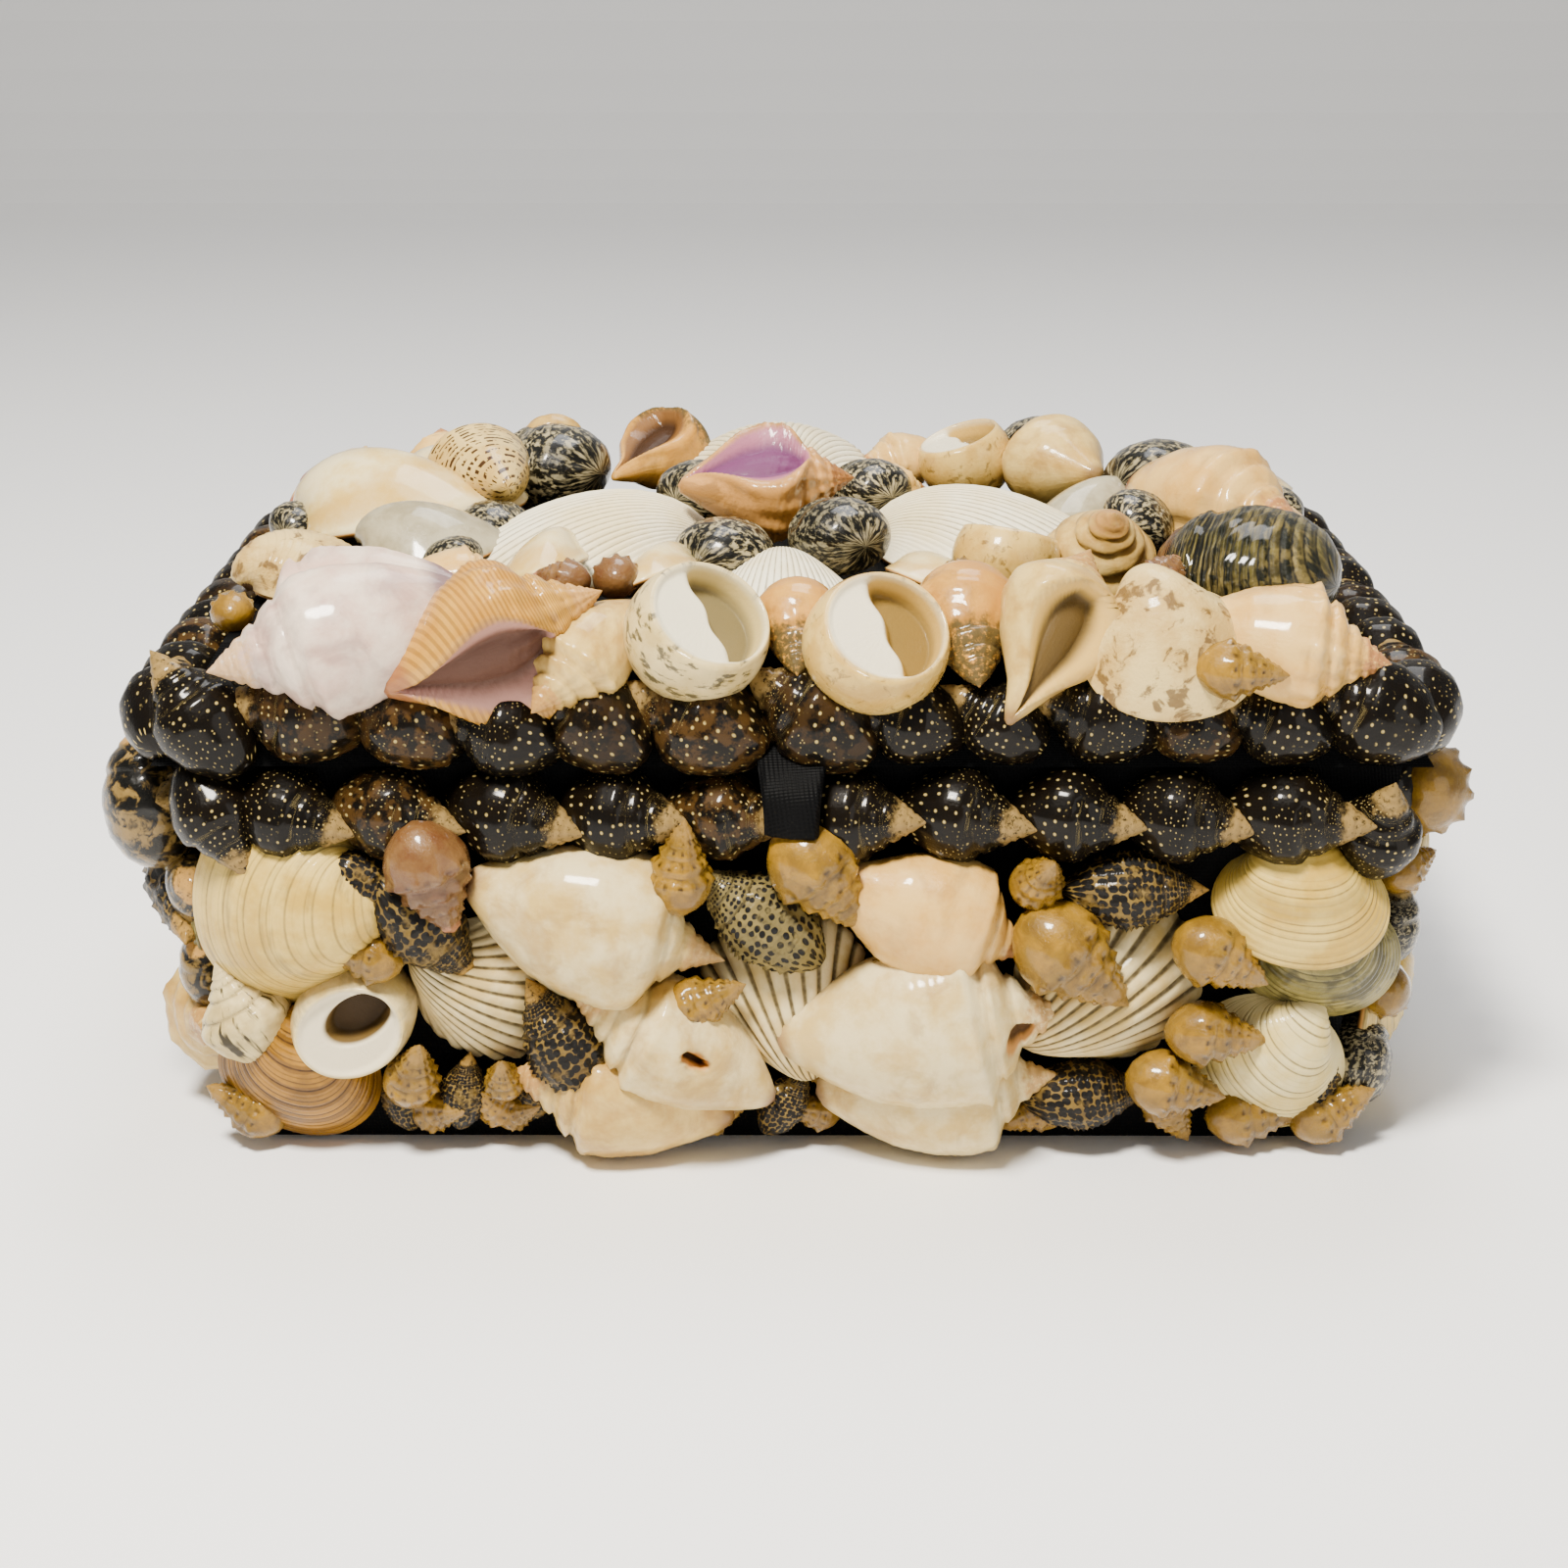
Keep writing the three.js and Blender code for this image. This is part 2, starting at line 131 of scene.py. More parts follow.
print("smooth(0, 1, 0.25) =", float(smooth(0, 1, 0.25)))

# %% [markdown]
# ## Skins: closed grids that start and end in a point
# A coiled shell closes at its apex and at its front tip, and a valve closes at its
# umbo outside and inside. So every kind can be a grid whose first and last rows
# are single points. The columns run round and join up. The grid carries a pattern
# map (u, v) and a few marks: the age of the shell at that place, whether it lies
# inside the mouth, and how high the carving stands.

# %% Closed skins
def closed_skin(points, u, v, marks):
    """A closed skin from points (rows, columns + 1, 3): the first and last rows are poles, the last column repeats the
    first."""
    rows, cols = points.shape[0] - 2, points.shape[1] - 1
    index = np.arange(rows * cols).reshape(rows, cols)
    right = np.roll(index, -1, axis=1)
    quads = np.stack([index[:-1], index[1:], right[1:], right[:-1]], axis=-1).reshape(-1, 4)
    pole = np.full(cols, rows * cols)
    tris = np.concatenate([np.stack([pole, index[0], right[0]], -1), np.stack([pole + 1, right[-1], index[-1]], -1)])
    uv = np.stack([u, v], axis=-1)
    quad_uv = np.stack([uv[1:-2, :-1], uv[2:-1, :-1], uv[2:-1, 1:], uv[1:-2, 1:]], axis=2).reshape(-1, 4, 2)
    first = np.stack([uv[0, :-1], uv[1, :-1], uv[1, 1:]], axis=1)
    last = np.stack([uv[-1, :-1], uv[-2, 1:], uv[-2, :-1]], axis=1)
    flat = lambda grid: np.concatenate([grid[1:-1, :-1].reshape(rows * cols, -1), grid[[0, -1], 0].reshape(2, -1)])
    skin = {
        "points": flat(points), "quads": quads, "tris": tris, "quad_uv": quad_uv,
        "tri_uv": np.concatenate([first, last]),
        "marks": {name: flat(np.broadcast_to(grid, points.shape[:2])[..., None])[:, 0] for name, grid in marks.items()},
    }
    return facing_out(skin)


def facing_out(skin):
    """Turns every face round if the volume summed over the faces (corner . corner x corner / 6) is negative."""
    p, q, t = skin["points"], skin["quads"], skin["tris"]
    fans = np.concatenate([q[:, [0, 1, 2]], q[:, [0, 2, 3]], t])
    volume = np.einsum("ij,ij->i", p[fans[:, 0]], np.cross(p[fans[:, 1]], p[fans[:, 2]])).sum() / 6
    if volume < 0:
        for key in ("quads", "tris", "quad_uv", "tri_uv"):
            skin[key] = skin[key][:, ::-1]
    return skin


def raised(points, height):
    """The grid moved by a height a point along its own surface direction, the cross product of its row and column steps."""
    wrapped = np.concatenate([points[:, -2:-1], points, points[:, 1:2]], axis=1)
    along = np.gradient(points, axis=0)
    around = (wrapped[:, 2:] - wrapped[:, :-2]) / 2
    normal = np.cross(along, around)
    normal /= np.maximum(np.linalg.norm(normal, axis=-1, keepdims=True), 1e-9)
    outward = np.sign(np.sum(normal * (points - points.mean(axis=(0, 1))), axis=-1).sum())
    return points + normal * outward * np.asarray(height)[..., None]


def numbers(shape, **usual):
    """The numbers of a shape by name, with the usual ones where it gives none."""
    return types.SimpleNamespace(**{**usual, **shape})


print("closed skins carry the marks age, inside and carved")

# %% [markdown]
# ## The coiled shell
# A snail grows by adding to its lip while turning, and every turn is larger by the
# same factor. One way to build it is a tube swept along a spiral, but nearly all of
# such a tube lies hidden inside. Here only the outside is made: an outline spun
# round the axis, on which the seam between the whorls winds as a true growth
# spiral. Knobs, ribs and cords follow that spiral, and a mouth is pressed in
# beside the lip where the last whorl ends.

# %% Coiled shells
def coiled(shape, fine=1.0):
    """A coiled shell one long: apex at +X, front tip at -X, outward +Z.
    A point lies at distance t (0 to 1) from the apex and at turn a (0 to 1) round the axis. Its phase is
    log(t / last) / log(step) - a, so equal phases wind round and whole numbers are the seam. Its radius is the
    outline at t, swollen by a step that rises from one seam to the shoulder and drops at the next, plus carving.
    Knobs and ribs are counted round one turn and cords between two seams. Their heights are shares of the radius.
    A mouth is (front, back, turn, half width) and a hole is (place, turn, length, width)."""
    s = numbers(shape, sides=76, rings=70, step=1.45, last=0.2, bulge=0.16, shoulder=0.45, knobs=0, knob=0, ribs=0, rib=0,
                fade=1.2, cords=0, cord=0, beads=0, lip=0, seam=15, mouth=None, hook=0, crowd=1.3, depth=0.72, flare=0.22,
                hole=None)
    rings, sides = int(s.rings * fine), int(s.sides * fine)
    t, a = np.meshgrid(np.linspace(0, 1, rings) ** s.crowd, np.linspace(0, 1, sides + 1), indexing="ij")
    phase = np.log(np.maximum(t, 0.012) / s.last) / math.log(s.step) - a
    whorl = np.minimum(np.floor(phase), 0)
    part, growth = phase - whorl, whorl + a
    swell = smooth(0, s.shoulder, part) - smooth(0.8, 1.0, part) * (phase < 0)
    ripple = np.cos(2 * np.pi * s.ribs * growth)
    thread = np.cos(2 * np.pi * s.cords * phase)
    knobs = s.knob * bump(s.shoulder, 0.2, part) * (0.5 + 0.5 * np.cos(2 * np.pi * s.knobs * growth)) ** 2
    ribs = s.rib * ripple * smooth(0.0, 0.15, part) * (1 - smooth(s.fade, s.fade + 0.8, part))
    cords = (s.cord * thread + s.beads * np.maximum(ripple, 0) * np.maximum(thread, 0)) * smooth(0.03, 0.25, t)
    body = smooth(s.last, s.last + 0.1, t) * (1 - smooth(0.84, 0.98, t))
    edge = smooth(0.72, 0.985, a) * (1 - smooth(0.985, 1.0, a))
    lip = (s.lip * edge - 1.2 * s.lip * bump(0.03, 0.025, a)) * body
    radius = 1 + s.bulge * swell + knobs + ribs + cords + lip
    inside = np.zeros_like(t)
    if s.mouth:
        first, end, turn, wide = s.mouth
        along = np.clip((t - first) / (end - first), 0, 1)
        side = (a - turn + 0.5) % 1 - 0.5
        away = np.abs(side) / (wide * np.sin(np.pi * along ** 0.75) + 0.004)
        inside = (1 - smooth(0.78, 1.03, away)) * smooth(0, 0.08, along) * (1 - smooth(0.94, 1, along))
        rim = bump(1.22, 0.2, away) * smooth(0, 0.12, along) * (1 - smooth(0.9, 1, along))
        radius = radius * (1 - s.depth * inside) + rim * np.where(side < 0, s.flare, 0.03)
    if s.hole:
        place, turn, long, wide = s.hole
        broken = 1 - smooth(0.7, 1.0, np.hypot((t - place) / long, (a - turn) / wide))
        radius, inside = radius * (1 - 0.45 * broken), np.maximum(inside, broken)
    outline = [(1 - x, y) for x, y in reversed(OUTLINES[s.line])]
    share = soft_line(outline, t, 0.02) * smooth(0, 0.008, t) * smooth(0, 0.012, 1 - t)
    angle = math.radians(s.seam) - 2 * np.pi * a
    y = s.width / 2 * share * radius * np.cos(angle) + s.hook * smooth(0.78, 1, t)
    z = s.height / 2 * share * radius * np.sin(angle)
    points = np.stack([0.5 - t + 0.01 * np.sin(2 * np.pi * a) * smooth(0.3, 0.6, t), y, z], axis=-1)
    points[[0, -1]] = points[[0, -1]].mean(axis=1, keepdims=True)
    # The carved mark is low at the seams and between knobs, where the finish paints dirt and shade.
    off_seam = 0.5 * smooth(0, 0.3, part) * (1 - smooth(0.8, 1.0, part) * (phase < 0))
    between_knobs = 20 * s.knob ** 2 * bump(s.shoulder, 0.25, part) * smooth(0.05, 0.2, t)
    carved = 0.3 + off_seam + (knobs + ribs + cords) * 5 - between_knobs
    return closed_skin(points, growth, phase, {"age": t, "inside": inside, "carved": carved})


# Place from the front tip (0) to the apex (1), and radius.
OUTLINES = {
    "conch": [(0, 0.08), (0.05, 0.25), (0.15, 0.5), (0.32, 0.82), (0.5, 0.98), (0.63, 0.98), (0.7, 0.8), (0.78, 0.52),
        (0.9, 0.25), (1, 0)],
    "strombus": [(0, 0.12), (0.05, 0.28), (0.15, 0.5), (0.3, 0.79), (0.45, 0.95), (0.6, 1), (0.7, 0.93), (0.76, 0.6),
        (0.82, 0.34), (0.9, 0.18), (1, 0)],
    "pear": [(0, 0.05), (0.08, 0.17), (0.22, 0.36), (0.42, 0.78), (0.6, 1), (0.72, 0.96), (0.8, 0.68), (0.88, 0.34),
        (1, 0)],
    "whelk": [(0, 0.08), (0.06, 0.22), (0.18, 0.46), (0.36, 0.84), (0.52, 1), (0.62, 0.92), (0.72, 0.62), (0.85, 0.32),
        (1, 0)],
    "dove": [(0, 0.25), (0.05, 0.46), (0.2, 0.8), (0.4, 1), (0.55, 0.95), (0.64, 0.72), (0.74, 0.52), (0.87, 0.27), (1, 0)],
    "nassa": [(0, 0.16), (0.05, 0.42), (0.16, 0.76), (0.3, 0.95), (0.42, 0.95), (0.56, 0.76), (0.72, 0.52), (0.88, 0.28),
        (1, 0)],
    "drupe": [(0, 0.15), (0.06, 0.4), (0.2, 0.78), (0.44, 1), (0.62, 0.86), (0.8, 0.48), (1, 0)],
    "cone": [(0, 0.1), (0.1, 0.3), (0.35, 0.7), (0.68, 1), (0.78, 0.86), (0.88, 0.4), (1, 0)],
    "globe": [(0, 0), (0.04, 0.42), (0.14, 0.74), (0.3, 0.95), (0.5, 1), (0.7, 0.92), (0.86, 0.66), (0.96, 0.34), (1, 0)],
}
print("outlines:", ", ".join(OUTLINES))

# %% [markdown]
# ## The valve of a clam or cockle
# Growth makes each older edge of a valve a smaller copy of the newest, all meeting
# at the umbo, and each also swings up about the hinge. Shrinking and turning
# together give the dome and its curled beak, so no outline of the dome is needed:
# it follows from the shape of the edge and how fast it turns.

# %% Valves
def valve(shape, fine=1.0):
    """One valve, one long, umbo at +X, hollow side down.
    The edge at angle a is an ellipse through the umbo. A point of age b is umbo + b * turned(edge - umbo), turned
    about the Y axis by -curl * log(b). Grooves are cosines raised to a power: along the edge for ribs, in b for ridges."""
    s = numbers(shape, sides=120, rings=44, width=1.0, curl=1.0, ribs=0, rib=0, ridges=0, ridge=0, thick=0.03, skew=0,
                narrow=3, smooth_beak=0)
    rings, sides = int(s.rings * fine), int(s.sides * fine)
    b, a = np.meshgrid(np.linspace(0.02, 1, rings) ** 0.9, np.linspace(0, 1, sides + 1), indexing="ij")
    turn = 2 * np.pi * a
    edge_x = 0.5 * np.cos(turn) - 0.52
    edge_y = s.width / 2 * np.sin(turn) + s.skew * edge_x * (1 - np.abs(np.cos(turn / 2)))
    swing = np.minimum(-s.curl * np.log(b), 2.6)
    reach = b * edge_x
    outer = np.stack([0.5 + reach * np.cos(swing), b * edge_y, -reach * np.sin(swing)], axis=-1)
    back = smooth(0.1, 0.3, a) * smooth(0.1, 0.3, 1 - a)
    grooves = (0.5 + 0.5 * np.cos(2 * np.pi * s.ribs * a)) ** s.narrow * back if s.ribs else 0 * a
    rings_cut = (0.5 + 0.5 * np.cos(2 * np.pi * s.ridges * b ** 1.15)) ** s.narrow
    rings_cut *= smooth(s.smooth_beak, s.smooth_beak + 0.3, b)
    height = -s.rib * 2 * grooves * b - s.ridge * 2 * rings_cut * (0.3 + 0.7 * back)
    outer = raised(outer, height)
    inner = (outer * np.array([0.97, 0.97, 1.0]) - np.array([0, 0, s.thick]))[::-4]
    outer[0] = outer[0].mean(axis=0)
    inner[-1] = outer[0] - np.array([0.02, 0, s.thick])
    points = np.concatenate([outer, inner])
    age = np.concatenate([b, b[::-4]])
    # The hollow side is marked inside, so the finish paints it with the mouth's colour and painted shade.
    inside = np.concatenate([np.zeros_like(b), np.ones_like(b[::-4])])
    # The carved mark is low in the grooves, where the finish paints dirt and shade.
    cut = np.maximum(grooves * (s.rib > 0), rings_cut * (s.ridge > 0.0015))
    carved = np.concatenate([0.75 - 0.75 * cut, 0.6 + 0 * b[::-4]])
    u = np.concatenate([a, a[::-4]])
    return closed_skin(points, u, age, {"age": age, "inside": inside, "carved": carved})


print("valves dome by", round(float(0.45 * math.sin(-math.log(0.45))), 2), "of their length at curl 1")

# %% [markdown]
# ## The nerite lying on its back
# Four nerites show their mouths: a flat shelf on one side, a half-moon opening on
# the other, a thin sharp lip all round. The globe is spun as a bowl, and the flat
# top is a height field in which the opening is one smooth mask.

# %% Upturned nerites
def upturned(shape, fine=1.0):
    """A nerite one long with its mouth up. Rows run from the bottom, round the globe, over the lip and in to the
    middle of the top. There the height is the lip's, less the shelf's slope, less the opening's depth."""
    s = numbers(shape, width=0.94, height=0.6, sides=96, hole=0, oval=None, depth=0.26, rim=0.1)
    sides, under, top = int(s.sides * fine), int(30 * fine), int(44 * fine)
    a = np.linspace(0, 1, sides + 1)
    climb = np.linspace(-np.pi / 2, 0.52, under)
    globe_r, globe_z = 0.5 * np.cos(climb), 0.5 * np.sin(climb) * s.height / 0.62
    lip_r, lip_z = globe_r[-1], globe_z[-1]
    inward = np.linspace(0, 1, top)
    ring_r = np.concatenate([globe_r, lip_r * (1 - inward)])
    rings, around = np.meshgrid(ring_r, 2 * np.pi * a, indexing="ij")
    x, y = rings * np.cos(around), rings * np.sin(around)
    base = np.concatenate([globe_z, lip_z + 0.01 * np.sin(np.pi * np.clip(inward * 8, 0, 1))])[:, None] + 0 * x
    on_top = (np.arange(len(ring_r)) >= under)[:, None]
    wall = 1 - smooth(0.94 - s.rim, 0.97, np.hypot(x, y) / lip_r)
    shelf_edge = s.hole + 0.016 * np.sin(18 * y)
    hole = smooth(shelf_edge - 0.02, shelf_edge + 0.1, x)
    if s.oval:
        place_x, place_y, long, wide = s.oval
        hole = 1 - smooth(0.75, 1.05, np.hypot((x - place_x) / long, (y - place_y) / wide))
    hole = on_top * wall * hole
    dip = on_top * wall * (1 - hole) * 0.035 * smooth(-0.5, s.hole, x)
    z = base - s.depth * hole * (0.75 + 0.5 * np.clip(x, 0, 0.5)) - dip
    points = np.stack([x * (1 - 0.1 * z), y * s.width, z], axis=-1)
    points[:under, :, 0] += 0.03 * smooth(0.0, -0.3, points[:under, :, 2])
    points[[0, -1]] = points[[0, -1]].mean(axis=1, keepdims=True)
    age = np.repeat(np.concatenate([np.linspace(0, 1, under), np.ones(top)])[:, None], sides + 1, axis=1)
    face = on_top * (1 - smooth(0.9, 0.99, np.hypot(x, y) / lip_r))
    u = np.repeat(a[None], len(ring_r), axis=0)
    return closed_skin(points, u, age * 3, {"age": age, "inside": hole, "carved": 0.5 + 0 * x, "face": face})


print("upturned nerites are bowls with a half-moon mouth")

# %% [markdown]
# ## The kinds
# Each kind is one of the three growers with its own numbers. Widths and heights
# are shares of the length and match the solids. A kind that is used for small
# shells has fewer rings and sides, because hundreds of them are needed.

# %% Kinds of shell
KINDS = {
    "conch": (coiled, dict(line="conch", width=0.5, height=0.44, bulge=0.18, knobs=8, knob=0.1, lip=0.1, cords=5,
        cord=0.006, ribs=16, rib=0.015, fade=0.3, hook=0.02, step=1.42, last=0.28, rings=84, seam=200)),
    "conch_open": (coiled, dict(line="pear", width=0.56, height=0.5, bulge=0.1, last=0.16, hook=0.02, seam=128,
        mouth=(0.26, 0.97, 0.12, 0.15), flare=0.12, depth=0.55, sides=110, rings=84)),
    "whelk": (coiled, dict(line="whelk", width=0.6, height=0.52, last=0.26, cords=7, cord=0.01, lip=0.08, ribs=14, rib=0.02,
        fade=0.6)),
    "whelk_open": (coiled, dict(line="whelk", width=0.62, height=0.54, bulge=0.14, last=0.24, ribs=13, rib=0.035, cords=8,
        cord=0.012, seam=128, mouth=(0.26, 0.97, 0.13, 0.13), flare=0.3, depth=0.5, sides=130, rings=96)),
    "dove": (coiled, dict(line="dove", width=0.57, height=0.54, bulge=0.17, last=0.3, shoulder=0.3, ribs=10, rib=0.012,
        fade=2, sides=48, rings=44, crowd=1.2)),
    "nassa": (coiled, dict(line="nassa", width=0.58, height=0.54, bulge=0.14, last=0.4, knobs=12, knob=0.17, ribs=12,
        rib=0.012, fade=0.3, sides=88, rings=50, step=1.4)),
    "drupe": (coiled, dict(line="drupe", width=0.5, height=0.48, bulge=0.08, last=0.24, ribs=15, rib=0.015, cords=6,
        cord=0.02, beads=0.09, fade=3, sides=90, rings=84)),
    "turban": (coiled, dict(line="nassa", width=0.86, height=0.8, bulge=0.2, last=0.4, cords=4, cord=0.03, step=1.6)),
    "cone": (coiled, dict(line="cone", width=0.66, height=0.55, bulge=0.05, last=0.16, cords=3, cord=0.008)),
    "nerite": (coiled, dict(line="globe", width=0.86, height=0.66, bulge=0.09, cords=11, cord=0.008, last=0.16, step=2.3,
        sides=64, rings=56, crowd=1.1)),
    "cockle": (valve, dict(ribs=23, rib=0.014, sides=230, rings=28, narrow=2)),
    "petal": (valve, dict(width=0.96, curl=0.8, ribs=56, rib=0.004, sides=336, rings=24, narrow=2)),
    "venus": (valve, dict(width=1.18, curl=1.2, ridges=18, ridge=0.005, sides=72, rings=90, skew=0.12)),
    "tellin": (valve, dict(width=0.8, curl=0.9, sides=64, rings=40, skew=0.2)),
    "mouth": (upturned, {}),
}


def grown(kind, fine=1.0, **changes):
    """A skin of this kind, one long."""
    grower, shape = KINDS[kind]
    return grower({**shape, **changes}, fine)


for kind in KINDS:
    print(kind, len(grown(kind)["quads"]) * 2, "triangles")

# %% [markdown]
# ## Where shells can lie
# A shell is bedded by saying where it sits on a face: right, up and out from that
# face's own origin, the way its apex points, how far it leans out and how far it is
# rolled. The faces come from the two boards, whose boxes the frame gives. The base
# flares by 10 mm at the ends and 8 mm at the front, and the lid's rim slopes in 12.

# %% Faces of the box and lid
base_high = np.array(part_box("box_boards")[1]) / MM
lid_low, lid_high = (np.array(c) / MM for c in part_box("lid_boards"))
FLARE = np.array([10.0, 8.0])
SLOPE = 12.0
EDGE = 4.0  # how far below the lid's top the border face starts
DATUM = 3.0  # how far above the foot the box faces start
GLUE = 2.2  # the least board left over the back of a shell
foot = base_high[:2] - FLARE
wall_lean = FLARE / base_high[2]
lid_lean = SLOPE / (lid_high[2] - lid_low[2])


def face_frame(origin, right, out):
    """Four columns: right, up, outward and origin of a face, where up is out x right, all in millimetres."""
    u, n = (np.array(d, float) / np.linalg.norm(d) for d in (right, out))
    return np.column_stack([u, np.cross(n, u), n, origin])


FACES = {
    "lid_top": face_frame((0, 0, lid_high[2]), (1, 0, 0), (0, 0, 1)),
    "lid_border": face_frame((0, lid_low[1] + SLOPE - EDGE, lid_high[2] - EDGE), (1, 0, 0), (0, -1, 0.84)),
}
for side, x, y in (("front", 0, -1), ("left", -1, 0), ("right", 1, 0), ("back", 0, 1)):
    out = np.array([x, y])
    rim = np.where(out > 0, lid_high[:2], lid_low[:2]) * abs(out)
    FACES["lid_" + side] = face_frame((*rim, lid_low[2]), (-y, x, 0), (x, y, lid_lean))
    at_datum = out * (foot + wall_lean * DATUM)
    FACES["box_" + side] = face_frame((*at_datum, DATUM), (-y, x, 0), (x, y, -abs(out) @ wall_lean))
for name, face in FACES.items():
    print(name, "outward", face[:, 2].round(2))


def kept_out(points, face):
    """Points that would come out inside the box or lid, moved back along the face's normal until one board covers
    them by GLUE: a point's depth is taken under every face of its board, and the least shift to any face counts."""
    out = FACES[face][:, 2]
    walls = [FACES[name] for name in FACES if name[:3] == face[:3] and name != "lid_border"]
    depth = np.stack([(wall[:, 3] - points) @ wall[:, 2] for wall in walls]) - GLUE
    facing = np.array([out @ wall[:, 2] for wall in walls])
    shift = (depth[facing > 0.3] / facing[facing > 0.3, None]).min(axis=0)
    return points + np.where((depth > 0).all(axis=0), shift, 0)[:, None] * out


def bedded(skin, face, at, size, turn, lean=0, roll=0, squash=1.0):
    """The skin scaled to size, rolled about X, leaned about Y, turned about Z, moved to its place and carried onto the
    face. Its back is kept out of the hollow."""
    r, l, t = (math.radians(angle) for angle in (roll, -lean, turn))
    about_x = np.array([[1, 0, 0], [0, math.cos(r), -math.sin(r)], [0, math.sin(r), math.cos(r)]])
    about_y = np.array([[math.cos(l), 0, math.sin(l)], [0, 1, 0], [-math.sin(l), 0, math.cos(l)]])
    about_z = np.array([[math.cos(t), -math.sin(t), 0], [math.sin(t), math.cos(t), 0], [0, 0, 1]])
    local = (skin["points"] * size * np.array([1, squash, 1])) @ (about_z @ about_y @ about_x).T + np.array(at, float)
    axes = FACES[face]
    return {**skin, "points": kept_out(local @ axes[:, :3].T + axes[:, 3], face) * MM}


# %% [markdown]
# ## From skins to pieces
# Hundreds of shells as separate objects would be slow and untidy, and one object
# for everything couldn't be taken apart. So each large shell is its own piece,
# standing for its solid, and small shells of one kind are joined by area.

# %% Pieces
def make_piece(name, skins, finish, body, stands_for, tints=None):
    """Joins skins into one mesh object with the growth map and the marks, and gives each shell one tint of its own:
    the k-th steps round from 0 to 1 by the golden share, 0.618, so that neighbours differ."""
    sizes = [len(skin["points"]) for skin in skins]
    starts = np.concatenate([[0], np.cumsum(sizes)[:-1]])
    points, quad_uv, tri_uv = (np.concatenate([skin[key] for skin in skins]) for key in ("points", "quad_uv", "tri_uv"))
    quads, tris = (np.concatenate([skin[key] + start for skin, start in zip(skins, starts)]) for key in ("quads", "tris"))
    uv = np.concatenate([quad_uv.reshape(-1, 2), tri_uv.reshape(-1, 2)])
    totals = np.concatenate([np.full(len(quads), 4), np.full(len(tris), 3)])
    mesh = bpy.data.meshes.new(name)
    mesh.vertices.add(len(points))
    mesh.vertices.foreach_set("co", points.ravel())
    mesh.loops.add(int(totals.sum()))
    mesh.loops.foreach_set("vertex_index", np.concatenate([quads.ravel(), tris.ravel()]))
    mesh.polygons.add(len(totals))
    mesh.polygons.foreach_set("loop_start", np.concatenate([[0], np.cumsum(totals)[:-1]]))
    mesh.polygons.foreach_set("loop_total", totals)
    mesh.update(calc_edges=True)
    mesh.polygons.foreach_set("use_smooth", np.ones(len(totals), bool))
    mesh.uv_layers.new(name="growth").data.foreach_set("uv", uv.ravel())
    marks = {key: np.concatenate([skin["marks"].get(key, np.zeros(n)) for skin, n in zip(skins, sizes)])
             for key in ("age", "inside", "carved", "face")}
    marks["tint"] = np.repeat(tints or [(0.5 + 0.618 * (k + len(name))) % 1 for k in range(len(skins))], sizes)
    for key, values in marks.items():
        mesh.attributes.new(key, "FLOAT", "POINT").data.foreach_set("value", values)
    piece = bpy.data.objects.new(name, mesh)
    bpy.context.scene.collection.objects.link(piece)
    mesh.materials.append(FINISHES[finish])
    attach(piece, body)
    if stands_for:
        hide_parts(*stands_for)
    return piece


# %% [markdown]
# ## Shader maths in plain expressions
# A finish is arithmetic on patterns. Wrapping a socket in a small class lets that
# arithmetic be written as Python, and every expression adds its Math nodes.

# %% Sockets as numbers
def linear(code):
    """The base colour that shows as a six-figure screen colour under this light. With c = ((code + 0.055) / 1.055) ** 2.4
    and its largest channel top, it is top * f * (c / top) ** q. Gloss greys all tones, and light tones are lit past white
    and lose colour, so f and q rise with top. Green falls off more slowly, at 0.82 q, or browns would turn pink."""
    c = ((np.array([int(code[i : i + 2], 16) / 255 for i in (0, 2, 4)]) + 0.055) / 1.055) ** 2.4
    top = c.max()
    light = smooth(0.3, 0.8, top)
    f, q = 0.42 + 0.5 * light, (1.25 + 1.1 * light) * np.array([1, 0.82, 1])
    return tuple(top * f * (c / top) ** q) + (1.0,)


class Value:
    """A socket that can be added, taken away and multiplied."""

    def __init__(self, sheet, socket):
        self.sheet, self.socket = sheet, socket

    def maths(self, operation, first, second=0.0):
        return self.sheet.node("Math", {0: first, 1: second}, operation=operation)

    def __add__(self, other): return self.maths("ADD", self, other)
    def __radd__(self, other): return self.maths("ADD", other, self)
    def __sub__(self, other): return self.maths("SUBTRACT", self, other)
    def __rsub__(self, other): return self.maths("SUBTRACT", other, self)
    def __mul__(self, other): return self.maths("MULTIPLY", self, other)

    def step(self, low, high):
        """0 at low and 1 at high, with an even S between."""
        ends = {"Value": self, "From Min": low, "From Max": high}
        return self.sheet.node("MapRange", ends, interpolation_type="SMOOTHSTEP")

    def wave(self, times):
        """A sine from 0 to 1 that repeats this many times over one unit."""
        return self.maths("SINE", self * (2 * math.pi * times)) * 0.5 + 0.5


